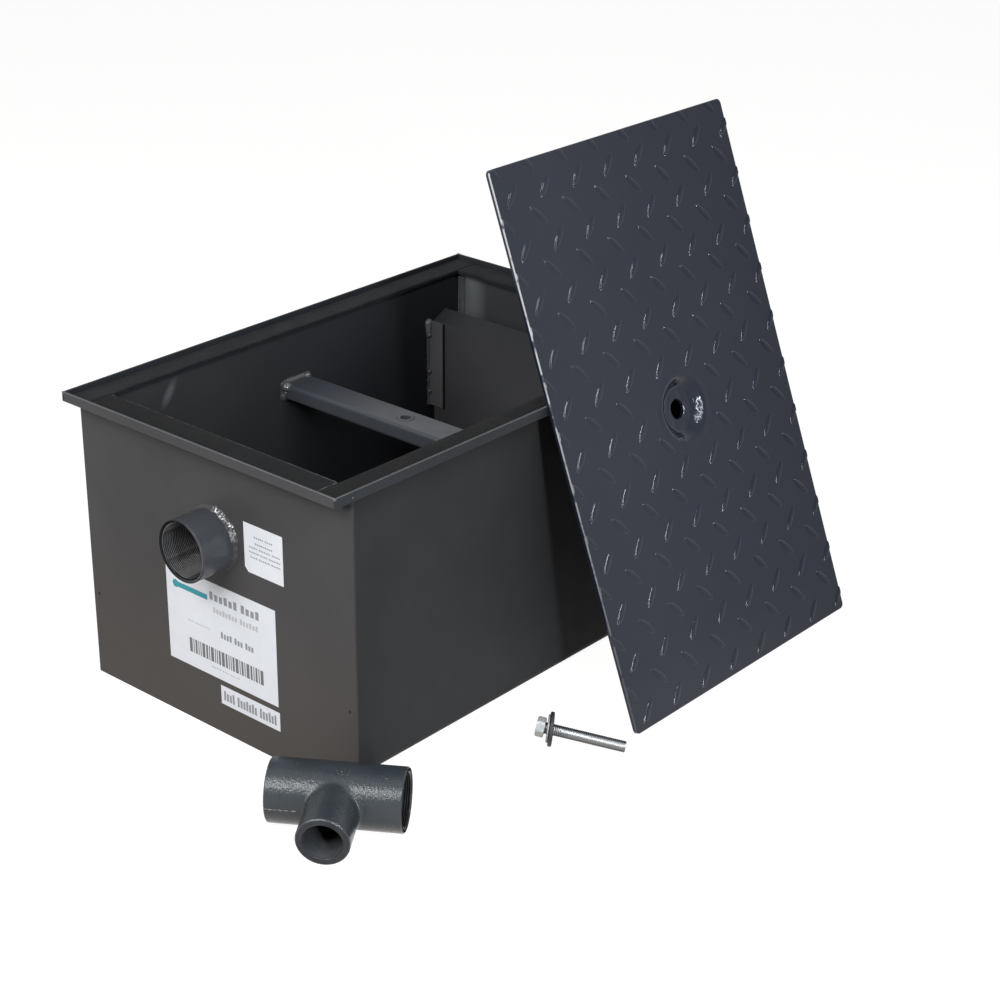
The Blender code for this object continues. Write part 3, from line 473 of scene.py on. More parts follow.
# Each painted light spot is its middle, half sizes, turn and colour
# Painted shadow on the outlet plate just under the rim's near right corner
PAINTED_RIM_SHADOW = ((0.1968, -END_PLATE_FACE, 0.3285), (0.0120, 0.02, 0.0062), (0.0, -0.45, 0.0),
          (0.004, 0.007, 0.009))
# Painted shade on the inner left wall's far part and on the outer right wall behind the cover, and a
# painted glare streak on the inner left wall near the outlet end
PAINTED_WALL_SHADE_AND_GLARE = (((-WALL_INSIDE, 0.20, 0.18), (0.02, 0.42, 0.30), NO_TURN, (0.022, 0.023, 0.026)),
          ((WALL_INSIDE + SHEET, 0.20, 0.17), (0.02, 0.28, 0.26), NO_TURN, (0.018, 0.019, 0.022)),
          ((-WALL_INSIDE, -0.190, 0.314), (0.02, 0.0075, 0.021), (-0.60, 0.0, 0.0),
           (0.105, 0.110, 0.118)))
# Painted light: a pale band on the inlet plate beside its left corner
PAINTED_INLET_LIGHT = ((-0.163, END_PLATE_INSIDE, 0.300), (0.030, 0.02, 0.120), NO_TURN, (0.125, 0.135, 0.140))
LOOKS = {
    "plate": enamel("look_plate_enamel", STEEL_PAINT, 0.40, painted_bounce_colour=PAINTED_FLOOR_BOUNCE, painted_light_spots=(PAINTED_RIM_SHADOW,)),
    "tank": enamel("look_tank_enamel", (0.042, 0.043, 0.045), 0.48, specular=0.05, painted_light_spots=PAINTED_WALL_SHADE_AND_GLARE),
    "inlet": enamel("look_inlet_end_enamel", (0.043, 0.045, 0.048), 0.40, specular=0.06,
                    painted_light_spots=(PAINTED_INLET_LIGHT,)),
    # One rim paint in two copies: darker on the side and inlet bars as painted shade, lighter on the
    # outlet bar as painted light
    "rim": enamel("look_rim_enamel", (0.025, 0.028, 0.033), 0.36),
    "rim_front": enamel("look_rim_front_enamel", (0.048, 0.049, 0.052), 0.36),
    "bar": enamel("look_crossbar_enamel", (0.042, 0.046, 0.055), 0.34, specular=0.24),
    # The baffle's upward lip is darkened as painted shade
    "baffle": enamel("look_baffle_enamel", (0.049, 0.050, 0.053), 0.42, specular=0.08,
                     painted_top_shade=(0.030, 0.031, 0.034)),
    "guide": enamel("look_guide_enamel", (0.085, 0.087, 0.091), 0.42, specular=0.10),
    "cover": cover_enamel("look_cover_enamel", (0.0092, 0.0138, 0.0275), 0.115),
    "weld": enamel("look_weld_enamel", (0.062, 0.063, 0.065), 0.20, peel=0.25, specular=0.5),
    "port_weld": enamel("look_port_weld_enamel", (0.052, 0.051, 0.053), 0.34, peel=0.30,
                        specular=0.12),
    "corner": streaked_enamel("look_corner_weld_enamel", (0.085, 0.092, 0.096), 0.34),
    "cast": casting("look_painted_casting", (0.029, 0.036, 0.042), 0.16),
    "port": port_enamel("look_coupling_enamel", (0.046, 0.050, 0.057), 0.24),
    "mouth": dull("look_casting_mouth", (0.016, 0.016, 0.018)),
    "mouth_ring": dull("look_casting_ring", (0.050, 0.053, 0.058)),
    "weld_glint": enamel("look_wet_weld", (0.14, 0.145, 0.15), 0.13, peel=0.6, specular=1.0),
    "edge": enamel("look_painted_edge_highlight", (0.100, 0.104, 0.112), 0.34, specular=0.28),
    "foam": foam("look_foam_strip", 1.0),
    # A darker copy of the foam for painted shade
    "foam_painted_shade": foam("look_foam_strip_painted_shade", 0.36),
    "foam_edge": enamel("look_foam_edge_highlight", (0.070, 0.073, 0.079), 0.60, specular=0.2),
    "zinc": zinc("look_zinc_plate"),
    "zinc_shank": zinc_shank("look_zinc_shank"),
    "rubber": rubber("look_rubber"),
    # Lit and shaded copies of the thread steel: painted highlight and painted shade
    "thread_lit": cut_thread("look_thread_lit", 0.090, 0.20),
    "thread_dark": cut_thread("look_thread_dark", 0.003, 0.0),
    "tee_thread_lit": cut_thread("look_tee_thread_lit", 0.034, 0.2),
    "tee_thread_dark": cut_thread("look_tee_thread_dark", 0.006, 0.1),
    "paper": paper("look_label_paper", (0.675, 0.700, 0.745)),
    "grey_ink": ink("look_grey_ink", (0.22, 0.23, 0.25)),
    "pale_ink": ink("look_pale_ink", (0.43, 0.44, 0.46)),
    "teal_ink": ink("look_teal_ink", (0.006, 0.235, 0.28)),
    "dark_ink": ink("look_dark_ink", (0.115, 0.115, 0.122)),
}

# The solids' looks by the start of their names. The first that fits is taken
NODE_LOOKS = (
    ("tank_trough", "tank"), ("outlet_end_plate", "plate"), ("inlet_end_plate", "inlet"),
    ("rim_outlet", "rim_front"), ("rim_", "rim"), ("crossbar", "bar"), ("inlet_baffle", "baffle"),
    ("outlet_baffle", "baffle"), ("outlet_coupling", "port"), ("inlet_coupling", "port"),
    ("flow_tee", "cast"), ("flow_orifice", "zinc"), ("bolt_washer", "zinc"),
    ("bolt_rubber_washer", "rubber"), ("gasket_", "foam"), ("baffle_guide_", "guide"), ("", "tank"))

for node_name, node in NODES.items():
    node.data.materials.clear()
    look_name = next(look for start, look in NODE_LOOKS if node_name.startswith(start))
    node.data.materials.append(LOOKS[look_name])


# Mesh helpers

def linked(name, data):
    thing = bpy.data.objects.new(name, data)
    bpy.context.scene.collection.objects.link(thing)
    return thing


def mesh_of(name, bm):
    mesh = bpy.data.meshes.new(name)
    bm.to_mesh(mesh)
    bm.free()
    return mesh


def turns(count):
    """Angles evenly round a circle."""
    return [2 * pi * step / count for step in range(count)]


def run(start, end, steps):
    """Points evenly along a straight line."""
    start, end = Vector(start), Vector(end)
    return [start.lerp(end, step / steps) for step in range(steps + 1)]


def polar(radius, angle, height):
    return Vector((radius * cos(angle), radius * sin(angle), height))


def round_ring(radius, height, steps):
    return [polar(radius, angle, height) for angle in turns(steps)]


def add_piece(name, bm, looks, smooth=60.0):
    """Turn a bmesh into a piece of the tank's body. looks are names, one for each face index."""
    bmesh.ops.recalc_face_normals(bm, faces=bm.faces)
    mesh = mesh_of(name, bm)
    for look in looks.split():
        mesh.materials.append(LOOKS[look])
    if smooth:
        mesh.shade_smooth()
        mesh.set_sharp_from_angle(angle=radians(smooth))
    piece = linked(name, mesh)
    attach(piece, "tank")
    return piece


def bridge(bm, first, second):
    """Quads between two closed rings of vertices."""
    for index in range(len(first)):
        after = (index + 1) % len(first)
        bm.faces.new((first[index], first[after], second[after], second[index]))


def loft(bm, rings, closed_path=False, caps=True):
    """Quads between successive rings of points. Ends are capped unless the path closes."""
    made = [[bm.verts.new(point) for point in ring] for ring in rings]
    for index in range(len(made) if closed_path else len(made) - 1):
        bridge(bm, made[index], made[(index + 1) % len(made)])
    if caps and not closed_path:
        bm.faces.new(made[0])
        bm.faces.new(list(reversed(made[-1])))
    return bm


def bead(bm, path, leg, ripple=0.0045, lump=0.35, closed=False, seed=0.0, wave_height=0.12):
    """A laid weld. Each path entry is (point, direction on one face, direction on the other)."""
    rings = []
    travelled = 0.0
    before = None
    for point, first, second in path:
        travelled += (point - before).length if before is not None else 0.0
        before = point
        wave = abs(sin(pi * travelled / ripple))
        rough = noise.noise(point * 190 + Vector((seed, 0, 0)))
        slow = noise.noise(point * 60 + Vector((0, seed, 0)))
        size = leg * (1 + lump * (0.5 * rough + 0.5 * slow) + wave_height * wave)
        crown = 0.60 + 1.2 * wave_height * wave + 0.10 * rough
        sink = -0.08
        section = ((sink, sink), (1.0, sink), (0.94, 0.20), (crown, crown * 0.72),
                   (crown * 0.72, crown), (0.20, 0.94), (sink, 1.0))
        rings.append([point + first * (a * size) + second * (b * size) for a, b in section])
    return loft(bm, rings, closed)


def upright_bead(x, y, low, high, towards, steps, leg, **settings):
    """A bead up an inside corner. towards is the way out of the corner in X and in Y."""
    path = [(point, Vector((towards[0], 0, 0)), Vector((0, towards[1], 0)))
            for point in run((x, y, low), (x, y, high), steps)]
    return bead(bmesh.new(), path, leg, **settings)


def slab(bm, low, high, material=0):
    """A block between two corners, with its faces in one material slot."""
    made = bmesh.ops.create_cube(bm, size=1.0)["verts"]
    low, high = Vector(low), Vector(high)
    bmesh.ops.scale(bm, vec=high - low, verts=made)
    bmesh.ops.translate(bm, vec=(high + low) / 2, verts=made)
    for face in {face for vert in made for face in vert.link_faces}:
        face.material_index = material


def place_mesh(bm, matrix):
    bmesh.ops.transform(bm, matrix=matrix, verts=bm.verts)
    return bm


# Welds

def port_weld(name, side):
    """The bead round a coupling, glossy and lighter in spots on its right upper part as painted
    glints.
    """
    centre = Vector((0, side * END_PLATE_FACE, COUPLING_HEIGHT))
    path = []
    for angle in turns(260):
        out = Vector((cos(angle), 0, sin(angle)))
        sunk = PORT_WELD_SINK * (1 - cos(angle - radians(PORT_WELD_FULL_AT)))
        foot = centre + out * (COUPLING_RADIUS - sunk) - Vector((0, side * sunk, 0))
        path.append((foot, out, Vector((0, side, 0))))
    bm = bead(bmesh.new(), path, PORT_WELD_LEG, ripple=0.0046, lump=0.75, closed=True,
              seed=side * 3.7, wave_height=0.02)
    for face in bm.faces:
        middle = face.calc_center_median()
        angle = atan2(middle.z - COUPLING_HEIGHT, middle.x)
        # Painted glints: faces on the upper right, picked by noise, take the lighter glossy look
        face.material_index = int(0.25 < angle < 1.45 and noise.noise(middle * 420) > 0.06)
    piece = add_piece(name, bm, "port_weld weld_glint", smooth=50.0)
    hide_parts(name.replace("_bead", ""))


def crossbar_weld(name, side):
    """Weld round the tube's end, with the big blob that was left at its front corner."""
    half = BAR_WIDTH / 2
    low = BAR_TOP - BAR_DEPTH
    corners = ((-half, low), (half, low), (half, BAR_TOP), (-half, BAR_TOP))
    outs = ((0, -1), (1, 0), (0, 1), (-1, 0))
    path = []
    x = side * (WALL_INSIDE - GAP)
    inward = Vector((-side, 0, 0))
    for index in range(4):
        start, end = corners[index], corners[(index + 1) % 4]
        out = Vector((0, *outs[index]))
        turn = Vector((0, *outs[(index + 1) % 4]))
        for step, point in enumerate(run((x, *start), (x, *end), 16)[:-1]):
            lean = out.lerp(turn, max(0.0, (step / 16 - 0.8) * 2.5)).normalized()
            path.append((point, lean, inward))
    bm = bead(bmesh.new(), path, 0.0034, ripple=0.005, lump=0.4, closed=True, seed=side,
              wave_height=0.05)
    for centre, radius in (((x - side * 0.005, -half + 0.002, BAR_TOP - 0.003), 0.0068),
                           ((x - side * 0.003, -half + 0.003, BAR_TOP - 0.012), 0.0044),
                           ((x - side * 0.002, half - 0.004, BAR_TOP), 0.0048)):
        blob(bm, centre, radius)
    add_piece(name, bm, "weld")


def blob(bm, centre, radius):
    made = bmesh.ops.create_icosphere(bm, subdivisions=3, radius=radius)["verts"]
    for vert in made:
        vert.co *= 1 + 0.22 * noise.noise(vert.co * 160 + Vector(centre) * 50)
        vert.co += Vector(centre)


def guide_weld(name, side):
    """The front guide strip's bead, tacks and ground top, then its wider edge and a dark slab painted
    as the shadow in the gap there.
    """
    x = side * (WALL_INSIDE - GAP)
    bm = upright_bead(x, GUIDE_FRONT, GUIDE_BOTTOM, GUIDE_TOP, (-side, -1), 60, 0.0022,
                      ripple=0.009, lump=0.9, seed=side * 5.1)
    for height in GUIDE_TACKS:
        blob(bm, (x - side * 0.003, GUIDE_FRONT - 0.0012, height), 0.0030)
    add_piece(name, bm, "weld")
    bm = bmesh.new()
    for lift in range(0, 18, 2):
        blob(bm, (x - side * 0.0012, GUIDE_FRONT - 0.0006, GUIDE_TOP - 0.003 - lift / 1000),
             0.0052 - 0.00012 * lift)
    add_piece(name + "_top", bm, "corner")
    bm = bmesh.new()
    edge = side * (WALL_INSIDE - GUIDE_SEEN_WIDTH)
    # The first slab is a thin dark sheet in the gap: painted shadow
    for far, reach, look in ((edge - side * GUIDE_GAP, 0.0001, 1),
                             (edge + side * GUIDE_WIDER_BY, 0.0, 0)):
        slab(bm, (min(edge, far), GUIDE_FRONT - reach, GUIDE_BOTTOM),
             (max(edge, far), GUIDE_FRONT + GUIDE_STRIP_DEPTH, GUIDE_TOP), look)
    add_piece(name + "_gap", bm, "guide mouth", smooth=0)


def corner_weld(name, side, end):
    """Fillet down an inside corner between a long wall and an end plate."""
    bm = upright_bead(side * WALL_INSIDE, end * END_PLATE_INSIDE, 0.006, WALL_TOP - 0.004,
                      (-side, -end), 130, 0.0065, ripple=0.010, lump=0.10,
                      seed=side * 2.0 + end, wave_height=0.0)
    add_piece(name, bm, "corner")


def outlet_baffle_weld(name, side):
    bm = upright_bead(side * (WALL_INSIDE - GAP), OUTLET_BAFFLE_Y, OUTLET_BAFFLE_BOTTOM,
                      OUTLET_BAFFLE_TOP, (-side, 1), 100, 0.0040, ripple=0.008, lump=0.5,
                      seed=side * 7.0)
    add_piece(name, bm, "weld")


# Rim details

def tube(bm, path, radius, sides=8, rough=0.25):
    """A thin uneven round strand along a straight run of points."""
    direction = (path[-1] - path[0]).normalized()
    first = direction.orthogonal().normalized()
    second = direction.cross(first)
    rings = []
    for point in path:
        size = radius * (1 + rough * noise.noise(point * 240))
        rings.append([point + (first * cos(turn) + second * sin(turn)) * size
                      for turn in turns(sides)])
    return loft(bm, rings)


def rim_corner_weld(name, side, end):
    """Closes the mitre: a bead up the lip's corner, a blob at its top and a seam on the ledge."""
    x = side * (RIM_WIDTH / 2 - 0.0010)
    y = end * (RIM_LENGTH / 2 - 0.0010)
    bm = tube(bmesh.new(), run((x, y, RIM_BOTTOM + 0.0005), (x, y, RIM_TOP - 0.0008), 14),
              0.0015, sides=14, rough=0.12)
    for face in bm.faces:
        face.material_index = 1
    blob(bm, (x, y, RIM_TOP - 0.0012), 0.0018)
    blob(bm, (x - side * 0.0022, y + end * 0.0001, RIM_TOP - 0.0010), 0.0013)
    inner = (side * (GASKET_INNER[0] + 0.0030), end * (GASKET_INNER[1] + 0.0030))
    tube(bm, run((x, y, GASKET_LOW - 0.0013), (*inner, GASKET_LOW - 0.0013), 20), 0.0012)
    add_piece(name, bm, "weld rim")


def painted_edge_highlights():
    """Painted highlights as thin pale strands: two lips' tops, the outlet plate's right edge and the
    port's mouth.
    """
    bm = bmesh.new()
    x = RIM_WIDTH / 2
    y = RIM_LENGTH / 2
    top = RIM_TOP - 0.00035
    plate_x, plate_y = x - 0.0004, -END_PLATE_FACE + 0.0004
    for start, end, steps, radius in (
            ((-x + 0.001, -y + 0.00035, top), (x - 0.001, -y + 0.00035, top), 160, 0.00042),
            ((x - 0.00035, -y + 0.001, top), (x - 0.00035, y - 0.001, top), 200, 0.00042),
            ((plate_x, plate_y, 0.004), (plate_x, plate_y, RIM_BOTTOM - 0.001), 120, 0.00032)):
        tube(bm, run(start, end, steps), radius)
    # A painted glint at the top of the outlet plate's right edge
    blob(bm, (x + 0.0002, -0.2884, 0.3386), 0.0011)
    add_piece("painted_edge_highlights", bm, "edge")
    bm = bmesh.new()
    face = -END_PLATE_FACE - COUPLING_OUTSIDE
    reach = COUPLING_BORE + COUPLING_CHAMFER * 0.6
    rings = []
    for step in range(61):
        angle = radians(-75 + 150 * step / 60)
        uneven = 1 + 0.3 * noise.noise(Vector((step * 0.4, 0, 0)))
        thick = 0.00050 * uneven * sin(pi * (step + 2) / 64)
        out = Vector((cos(angle), 0, sin(angle)))
        middle = Vector((0, face + 0.0002, COUPLING_HEIGHT)) + out * reach
        rings.append([middle + (out * cos(turn) + Vector((0, 1, 0)) * sin(turn)) * thick
                      for turn in turns(8)])
    loft(bm, rings)
    add_piece("painted_port_edge_highlight", bm, "edge")


def gasket_strip(name, start, end, inward, width):
    """A sealing strip with soft, slightly wavy edges. start and end lie on its outer bottom edge."""
    inward = Vector(inward)
    steps = int((Vector(end) - Vector(start)).length / 0.003)
    thick = GASKET_TOP - GASKET_LOW
    soft = 0.0009
    rings = []
    for point in run(start, end, steps):
        wave = 0.0007 * noise.noise(point * 22) + 0.00025 * noise.noise(point * 140)
        outer = 0.0008 + 0.0005 * noise.noise(point * 30 + Vector((5, 0, 0)))
        inner = width + wave
        lift = 0.00018 * noise.noise(point * 60 + Vector((0, 7, 0)))
        top = thick + lift
        section = ((outer, 0.0), (outer, top - soft), (outer + 0.3 * soft, top - 0.3 * soft),
                   (outer + soft, top), (inner * 0.4, top + lift), (inner * 0.7, top - lift),
                   (inner - soft, top), (inner - 0.3 * soft, top - 0.3 * soft),
                   (inner, top - soft), (inner, 0.0))
        rings.append([point + inward * across + Vector((0, 0, up)) for across, up in section])
    bm = loft(bmesh.new(), rings)
    # The right and outlet strips take the darker copy of the foam: painted shade
    look = "foam" if name in ("gasket_left", "gasket_inlet") else "foam_painted_shade"
    piece = add_piece(name + "_foam", bm, look, smooth=50.0)
    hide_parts(name)


def make_gasket():
    outer_x, outer_y = GASKET_OUTER
    inner_x, inner_y = GASKET_INNER
    for hand, side in HANDS:
        gasket_strip("gasket_" + hand, (side * outer_x, -outer_y + 0.0006, GASKET_LOW),
                     (side * outer_x, outer_y - 0.0006, GASKET_LOW), (-side, 0, 0), outer_x - inner_x)
    for port, end in PORTS:
        gasket_strip("gasket_" + port, (-inner_x + 0.0015, end * outer_y, GASKET_LOW),
                     (inner_x - 0.0015, end * outer_y, GASKET_LOW), (0, -end, 0), outer_y - inner_y)
    # Painted highlights: pale strands along the outlet strip's inner edge and along its cut end
    bm = bmesh.new()
    tube(bm, run((-inner_x + 0.003, -inner_y - 0.0003, GASKET_TOP - 0.0006),
                 (inner_x - 0.004, -inner_y - 0.0003, GASKET_TOP - 0.0006), 150), 0.00055, rough=0.5)
    tube(bm, run((inner_x - 0.0017, -inner_y - 0.001, GASKET_TOP - 0.0005),
                 (inner_x - 0.0017, -outer_y + 0.002, GASKET_TOP - 0.0005), 20), 0.00055, rough=0.6)
    add_piece("gasket_edge_highlights", bm, "foam_edge")


# Threads

def thread_rings(length, pitch, steps, radius_at):
    """Rings of a helical thread along local Z. radius_at takes the crest's share and the height."""
    rows = int(length / pitch * 6)
    rings = []
    for row in range(rows + 1):
        height = length * row / rows
        ring = []
        for step, angle in enumerate(turns(steps)):
            phase = (height / pitch - step / steps) % 1.0
            ring.append(polar(radius_at(1 - abs(2 * phase - 1), height), angle, height))
        rings.append(ring)
    return rings


def thread_sleeve(name, bore, length, matrix, looks, steps=72):
    """Pipe thread on the inside of a bore, along local Z from 0 to length, open end last."""
    root = bore - 0.0001
    rings = thread_rings(length, THREAD_PITCH, steps,
                         lambda share, height: root - THREAD_DEPTH * min(1.0, share * 1.2))
    rings += [round_ring(root + 0.0002, height, steps) for height in (length, 0)]
    bm = loft(bmesh.new(), rings, True)
    # Bands of faces along the helix take the lit or the shaded copy: painted highlight and shade on
    # the flanks
    for face in bm.faces:
        middle = face.calc_center_median()
        share = atan2(middle.y, middle.x) / (2 * pi) % 1.0
        phase = (middle.z / THREAD_PITCH - share) % 1.0
        face.material_index = int(phase < THREAD_DARK_SHARE)
    add_piece(name, place_mesh(bm, matrix), looks, smooth=0)


def port_matrix(side):
    start = side * (END_PLATE_FACE - COUPLING_DEPTH)
    return (Matrix.Translation((0, start, COUPLING_HEIGHT))
            @ Matrix.Rotation(-side * pi / 2, 4, 'X'))


def tee_matrix():
    tilt = 2 * atan2(TEE_BRANCH_REACH - sqrt(TEE_BRANCH_REACH ** 2 - TEE_RUN_RADIUS ** 2
                                             + TEE_BRANCH_RADIUS ** 2),
                     TEE_RUN_RADIUS + TEE_BRANCH_RADIUS)
    return (Matrix.Translation((TEE_AT[0], TEE_AT[1], TEE_RUN_RADIUS))
            @ Matrix.Rotation(radians(TEE_HEADING), 4, 'Z') @ Matrix.Rotation(tilt, 4, 'X'))


# Bolt

def threaded_bolt():
    """Hexagon head with a washer face, and a rolled thread down to a chamfered tip."""
    def shank_radius(share, height):
        thread = BOLT_RADIUS - BOLT_THREAD_DEPTH * (1 - min(1.0, share * 1.15))
        return min(thread, BOLT_RADIUS - max(0.0, height - (BOLT_LENGTH - BOLT_POINT)))

    bm = loft(bmesh.new(), thread_rings(BOLT_LENGTH, BOLT_PITCH, 48, shank_radius))
    corner = HEAD_FLATS / sqrt(3)
    levels = ((corner * 0.90, 0.0), (corner, -0.0006), (corner, -HEAD_HEIGHT + 0.0016),
              (corner * 0.90, -HEAD_HEIGHT), (corner * 0.62, -HEAD_HEIGHT))
    flats = [HEAD_FLATS / 2 / cos((angle + pi / 6) % (pi / 3) - pi / 6) for angle in turns(60)]
    loft(bm, [[polar(min(flat, reach), angle, height) for flat, angle in zip(flats, turns(60))]
              for reach, height in levels])
    for face in bm.faces:
        face.material_index = int(face.calc_center_median().z > 0)
    piece = add_piece("threaded_cover_bolt", place_mesh(bm, bolt_matrix()), "zinc zinc_shank",
                      smooth=32.0)
    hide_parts("cover_bolt")


def loose_washers():
    """The two washers, each leaning a little on the shank as they lie."""
    for name, look, slot, radius, start, thick, lean in WASHERS:
        half = thick / 2
        soft = thick / 6
        profile = ((WASHER_BORE, -half), (radius - soft, -half), (radius, -half + soft),
                   (radius, half - soft), (radius - soft, half), (WASHER_BORE, half),
                   (WASHER_BORE, -half))
        tip = (Matrix.Translation((0, 0, start + half))
               @ Matrix.Rotation(radians(lean[0]), 4, 'X') @ Matrix.Rotation(radians(lean[1]), 4, 'Y'))
        bm = turned(profile, bolt_matrix() @ tip)
        piece = add_piece(name + "_seen", bm, look, smooth=35.0)
        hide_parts(name)


# Cover

def lug_ring(centre, angle, inset, points=11):
    """A pointed oval with slightly blunt tips, drawn in from the lug's foot by the inset."""
    ring = []
    shares = [-cos(pi * index / (points + 1)) for index in range(points + 2)]
    sides = [(s, (1 - s * s) ** 0.64) for s in shares]
    outline = [(s, -w) for s, w in sides] + [(s, w) for s, w in reversed(sides[1:-1])]
    for share, width in outline:
        x = share * (LUG_LENGTH / 2 - inset)
        y = width * (LUG_WIDTH / 2 - inset)
        ring.append((centre[0] + x * cos(angle) - y * sin(angle),
                     centre[1] + x * sin(angle) + y * cos(angle)))
    return ring


def lug_places():
    """Middles and angles of the lugs on the plate that stay clear of the dish."""
    middle = dish_middle()
    reach = LUG_LENGTH / 2
    kept = []
    for first, sign in LUG_SETS:
        angle = sign * radians(LUG_ANGLE)
        for column in range(-1, int(COVER_WIDTH / LUG_PITCH[0]) + 1):
            for row in range(-1, int(COVER_LENGTH / LUG_PITCH[1]) + 1):
                centre = Vector((first[0] + column * LUG_PITCH[0], first[1] - row * LUG_PITCH[1]))
                inside = (-reach < centre.x < COVER_WIDTH + reach
                          and -reach < centre.y < COVER_LENGTH + reach)
                near = min((Vector(p) - middle).length for p in lug_ring(centre, angle, 0.0))
                clear = (near > DISH_RADIUS + SHEET / 2
                         and (centre - middle).length > DISH_RADIUS + LUG_LENGTH / 4)
                if inside and clear:
                    kept.append((centre, angle))
    return kept


def ring_of(bm, points, height):
    verts = [bm.verts.new((x, y, height)) for x, y in points]
    return verts, [bm.edges.new((a, b)) for a, b in zip(verts, verts[1:] + verts[:1])]


def circle(middle, radius, steps):
    return [(middle[0] + radius * cos(angle), middle[1] + radius * sin(angle))
            for angle in turns(steps)]


def rounded(width, length, radius, steps, inset=0.0):
    points = []
    for cx, cy, start in ((width - radius, length - radius, 0.0), (radius, length - radius, pi / 2),
                          (radius, radius, pi), (width - radius, radius, 1.5 * pi)):
        for step in range(steps + 1):
            angle = start + pi / 2 * step / steps
            reach = radius - inset
            points.append((cx + reach * cos(angle), cy + reach * sin(angle)))
    return points


def eased(share, bend):
    """0 to 1 with an even slope between two bends that each take the given share."""
    steepest = 1 / (1 - bend)
    if share < bend:
        return steepest * share * share / (2 * bend)
    if share > 1 - bend:
        return 1 - steepest * (1 - share) ** 2 / (2 * bend)
    return steepest * (share - bend / 2)


def tread_cover():
    """The rolled plate with rounded lugs, and its smooth pressed dish, trimmed to size."""
    bm = bmesh.new()
    middle = dish_middle()
    far_x, far_y = COVER_WIDTH + STOCK_MARGIN, COVER_LENGTH + STOCK_MARGIN
    corners = [(-STOCK_MARGIN, -STOCK_MARGIN), (far_x, -STOCK_MARGIN), (far_x, far_y),
               (-STOCK_MARGIN, far_y)]
    steps = 72
    outer_top, edges = ring_of(bm, corners, 0.0)
    dish_top, more = ring_of(bm, circle(middle, DISH_RADIUS, steps), 0.0)
    edges += more
    feet = []
    for centre, angle in lug_places():
        foot, more = ring_of(bm, lug_ring(centre, angle, 0.0), 0.0)
        edges += more
        feet.append((foot, centre, angle))
    bmesh.ops.triangle_fill(bm, edges=edges, use_beauty=True, normal=(0, 0, 1))
    for foot, centre, angle in feet:
        last = foot
        for inset, share in LUG_SECTION:
            ring = [bm.verts.new((x, y, LUG_HEIGHT * share))
                    for x, y in lug_ring(centre, angle, inset * LUG_WIDTH)]
            bridge(bm, last, ring)
            last = ring
        bm.faces.new(last)
    under = -COVER_THICKNESS
    outer_under, edges = ring_of(bm, corners, under)
    dish_under, more = ring_of(bm, circle(middle, DISH_RADIUS, steps), under)
    bmesh.ops.triangle_fill(bm, edges=edges + more, use_beauty=True, normal=(0, 0, -1))
    bridge(bm, outer_top, outer_under)
    profile = []
    for index in range(1, 17):
        share = index / 16
        radius = DISH_RADIUS + (DISH_FLOOR_RADIUS - DISH_RADIUS) * share
        profile.append((radius, -DISH_DEPTH * eased(share, 0.30)))
    profile += [(BOLT_HOLE_RADIUS + 0.001, -DISH_DEPTH), (BOLT_HOLE_RADIUS, -DISH_DEPTH - 0.0008)]
    below = [(radius, height + under) for radius, height in reversed(profile[:-1])]
    last = dish_top
    for radius, height in profile + [(BOLT_HOLE_RADIUS, under - DISH_DEPTH)] + below:
        ring = [bm.verts.new((x, y, height)) for x, y in circle(middle, radius, steps)]
        bridge(bm, last, ring)
        last = ring
    bridge(bm, last, dish_under)
    rings = []
    for height, inset in ((-0.02, 0.0), (-COVER_EDGE, 0.0), (0.0, COVER_EDGE), (0.02, COVER_EDGE)):
        rings.append([Vector((x, y, height))
                      for x, y in rounded(COVER_WIDTH, COVER_LENGTH, COVER_CORNER, 6, inset)])
    trim = loft(bmesh.new(), rings)
    return cut_to_shape(place_mesh(bm, cover_matrix()), place_mesh(trim, cover_matrix()))


def joined(pieces):
    """Several bmeshes as one temporary object."""
    whole = bmesh.new()
    for piece in pieces:
        mesh = mesh_of("part_of_stock", piece)
        whole.from_mesh(mesh)
        bpy.data.meshes.remove(mesh)
    return linked("stock", mesh_of("stock", whole))


def add_boolean(thing, operation, other):
    modifier = thing.modifiers.new("cut", 'BOOLEAN')
    modifier.operation = operation
    modifier.solver = 'EXACT'
    modifier.object = other


def evaluated(thing, extra=()):
    """A temporary object's final mesh as a bmesh. The objects are then removed."""
    bpy.context.view_layer.update()
    result = bmesh.new()
    result.from_mesh(thing.evaluated_get(bpy.context.evaluated_depsgraph_get()).to_mesh())
    for used in (thing, *extra):
        bpy.data.objects.remove(used, do_unlink=True)
    return result


def cut_to_shape(stock, trim):
    """The part of one closed mesh that lies inside another, as a new bmesh."""
    for bm in (stock, trim):
        bmesh.ops.recalc_face_normals(bm, faces=bm.faces)
    stock, trim = joined((stock,)), joined((trim,))
    add_boolean(stock, 'INTERSECT', trim)
    result = evaluated(stock, (trim,))
    bmesh.ops.remove_doubles(result, verts=result.verts, dist=1e-6)
    return result


# Labels

def label(name, low, high, cut=0.0, lift=0.00012):
    """A paper sticker on the outlet plate, between two (x, z) corners, one corner clipped."""
    bm = bmesh.new()
    y = -END_PLATE_FACE
    outline = [(low[0] + cut, low[1]), (high[0], low[1]), (high[0], high[1]), (low[0], high[1])]
    if cut:
        outline.append((low[0], low[1] + cut))
    front = [Vector((x, y - lift, z)) for x, z in outline]
    back = [Vector((x, y + 0.00005, z)) for x, z in outline]
    loft(bm, [back, front])
    return name, bm, y - lift


def block(bm, top_y, low, high, material):
    slab(bm, (low[0], top_y - 0.00006, low[1]), (high[0], top_y + 0.00004, high[1]), material)


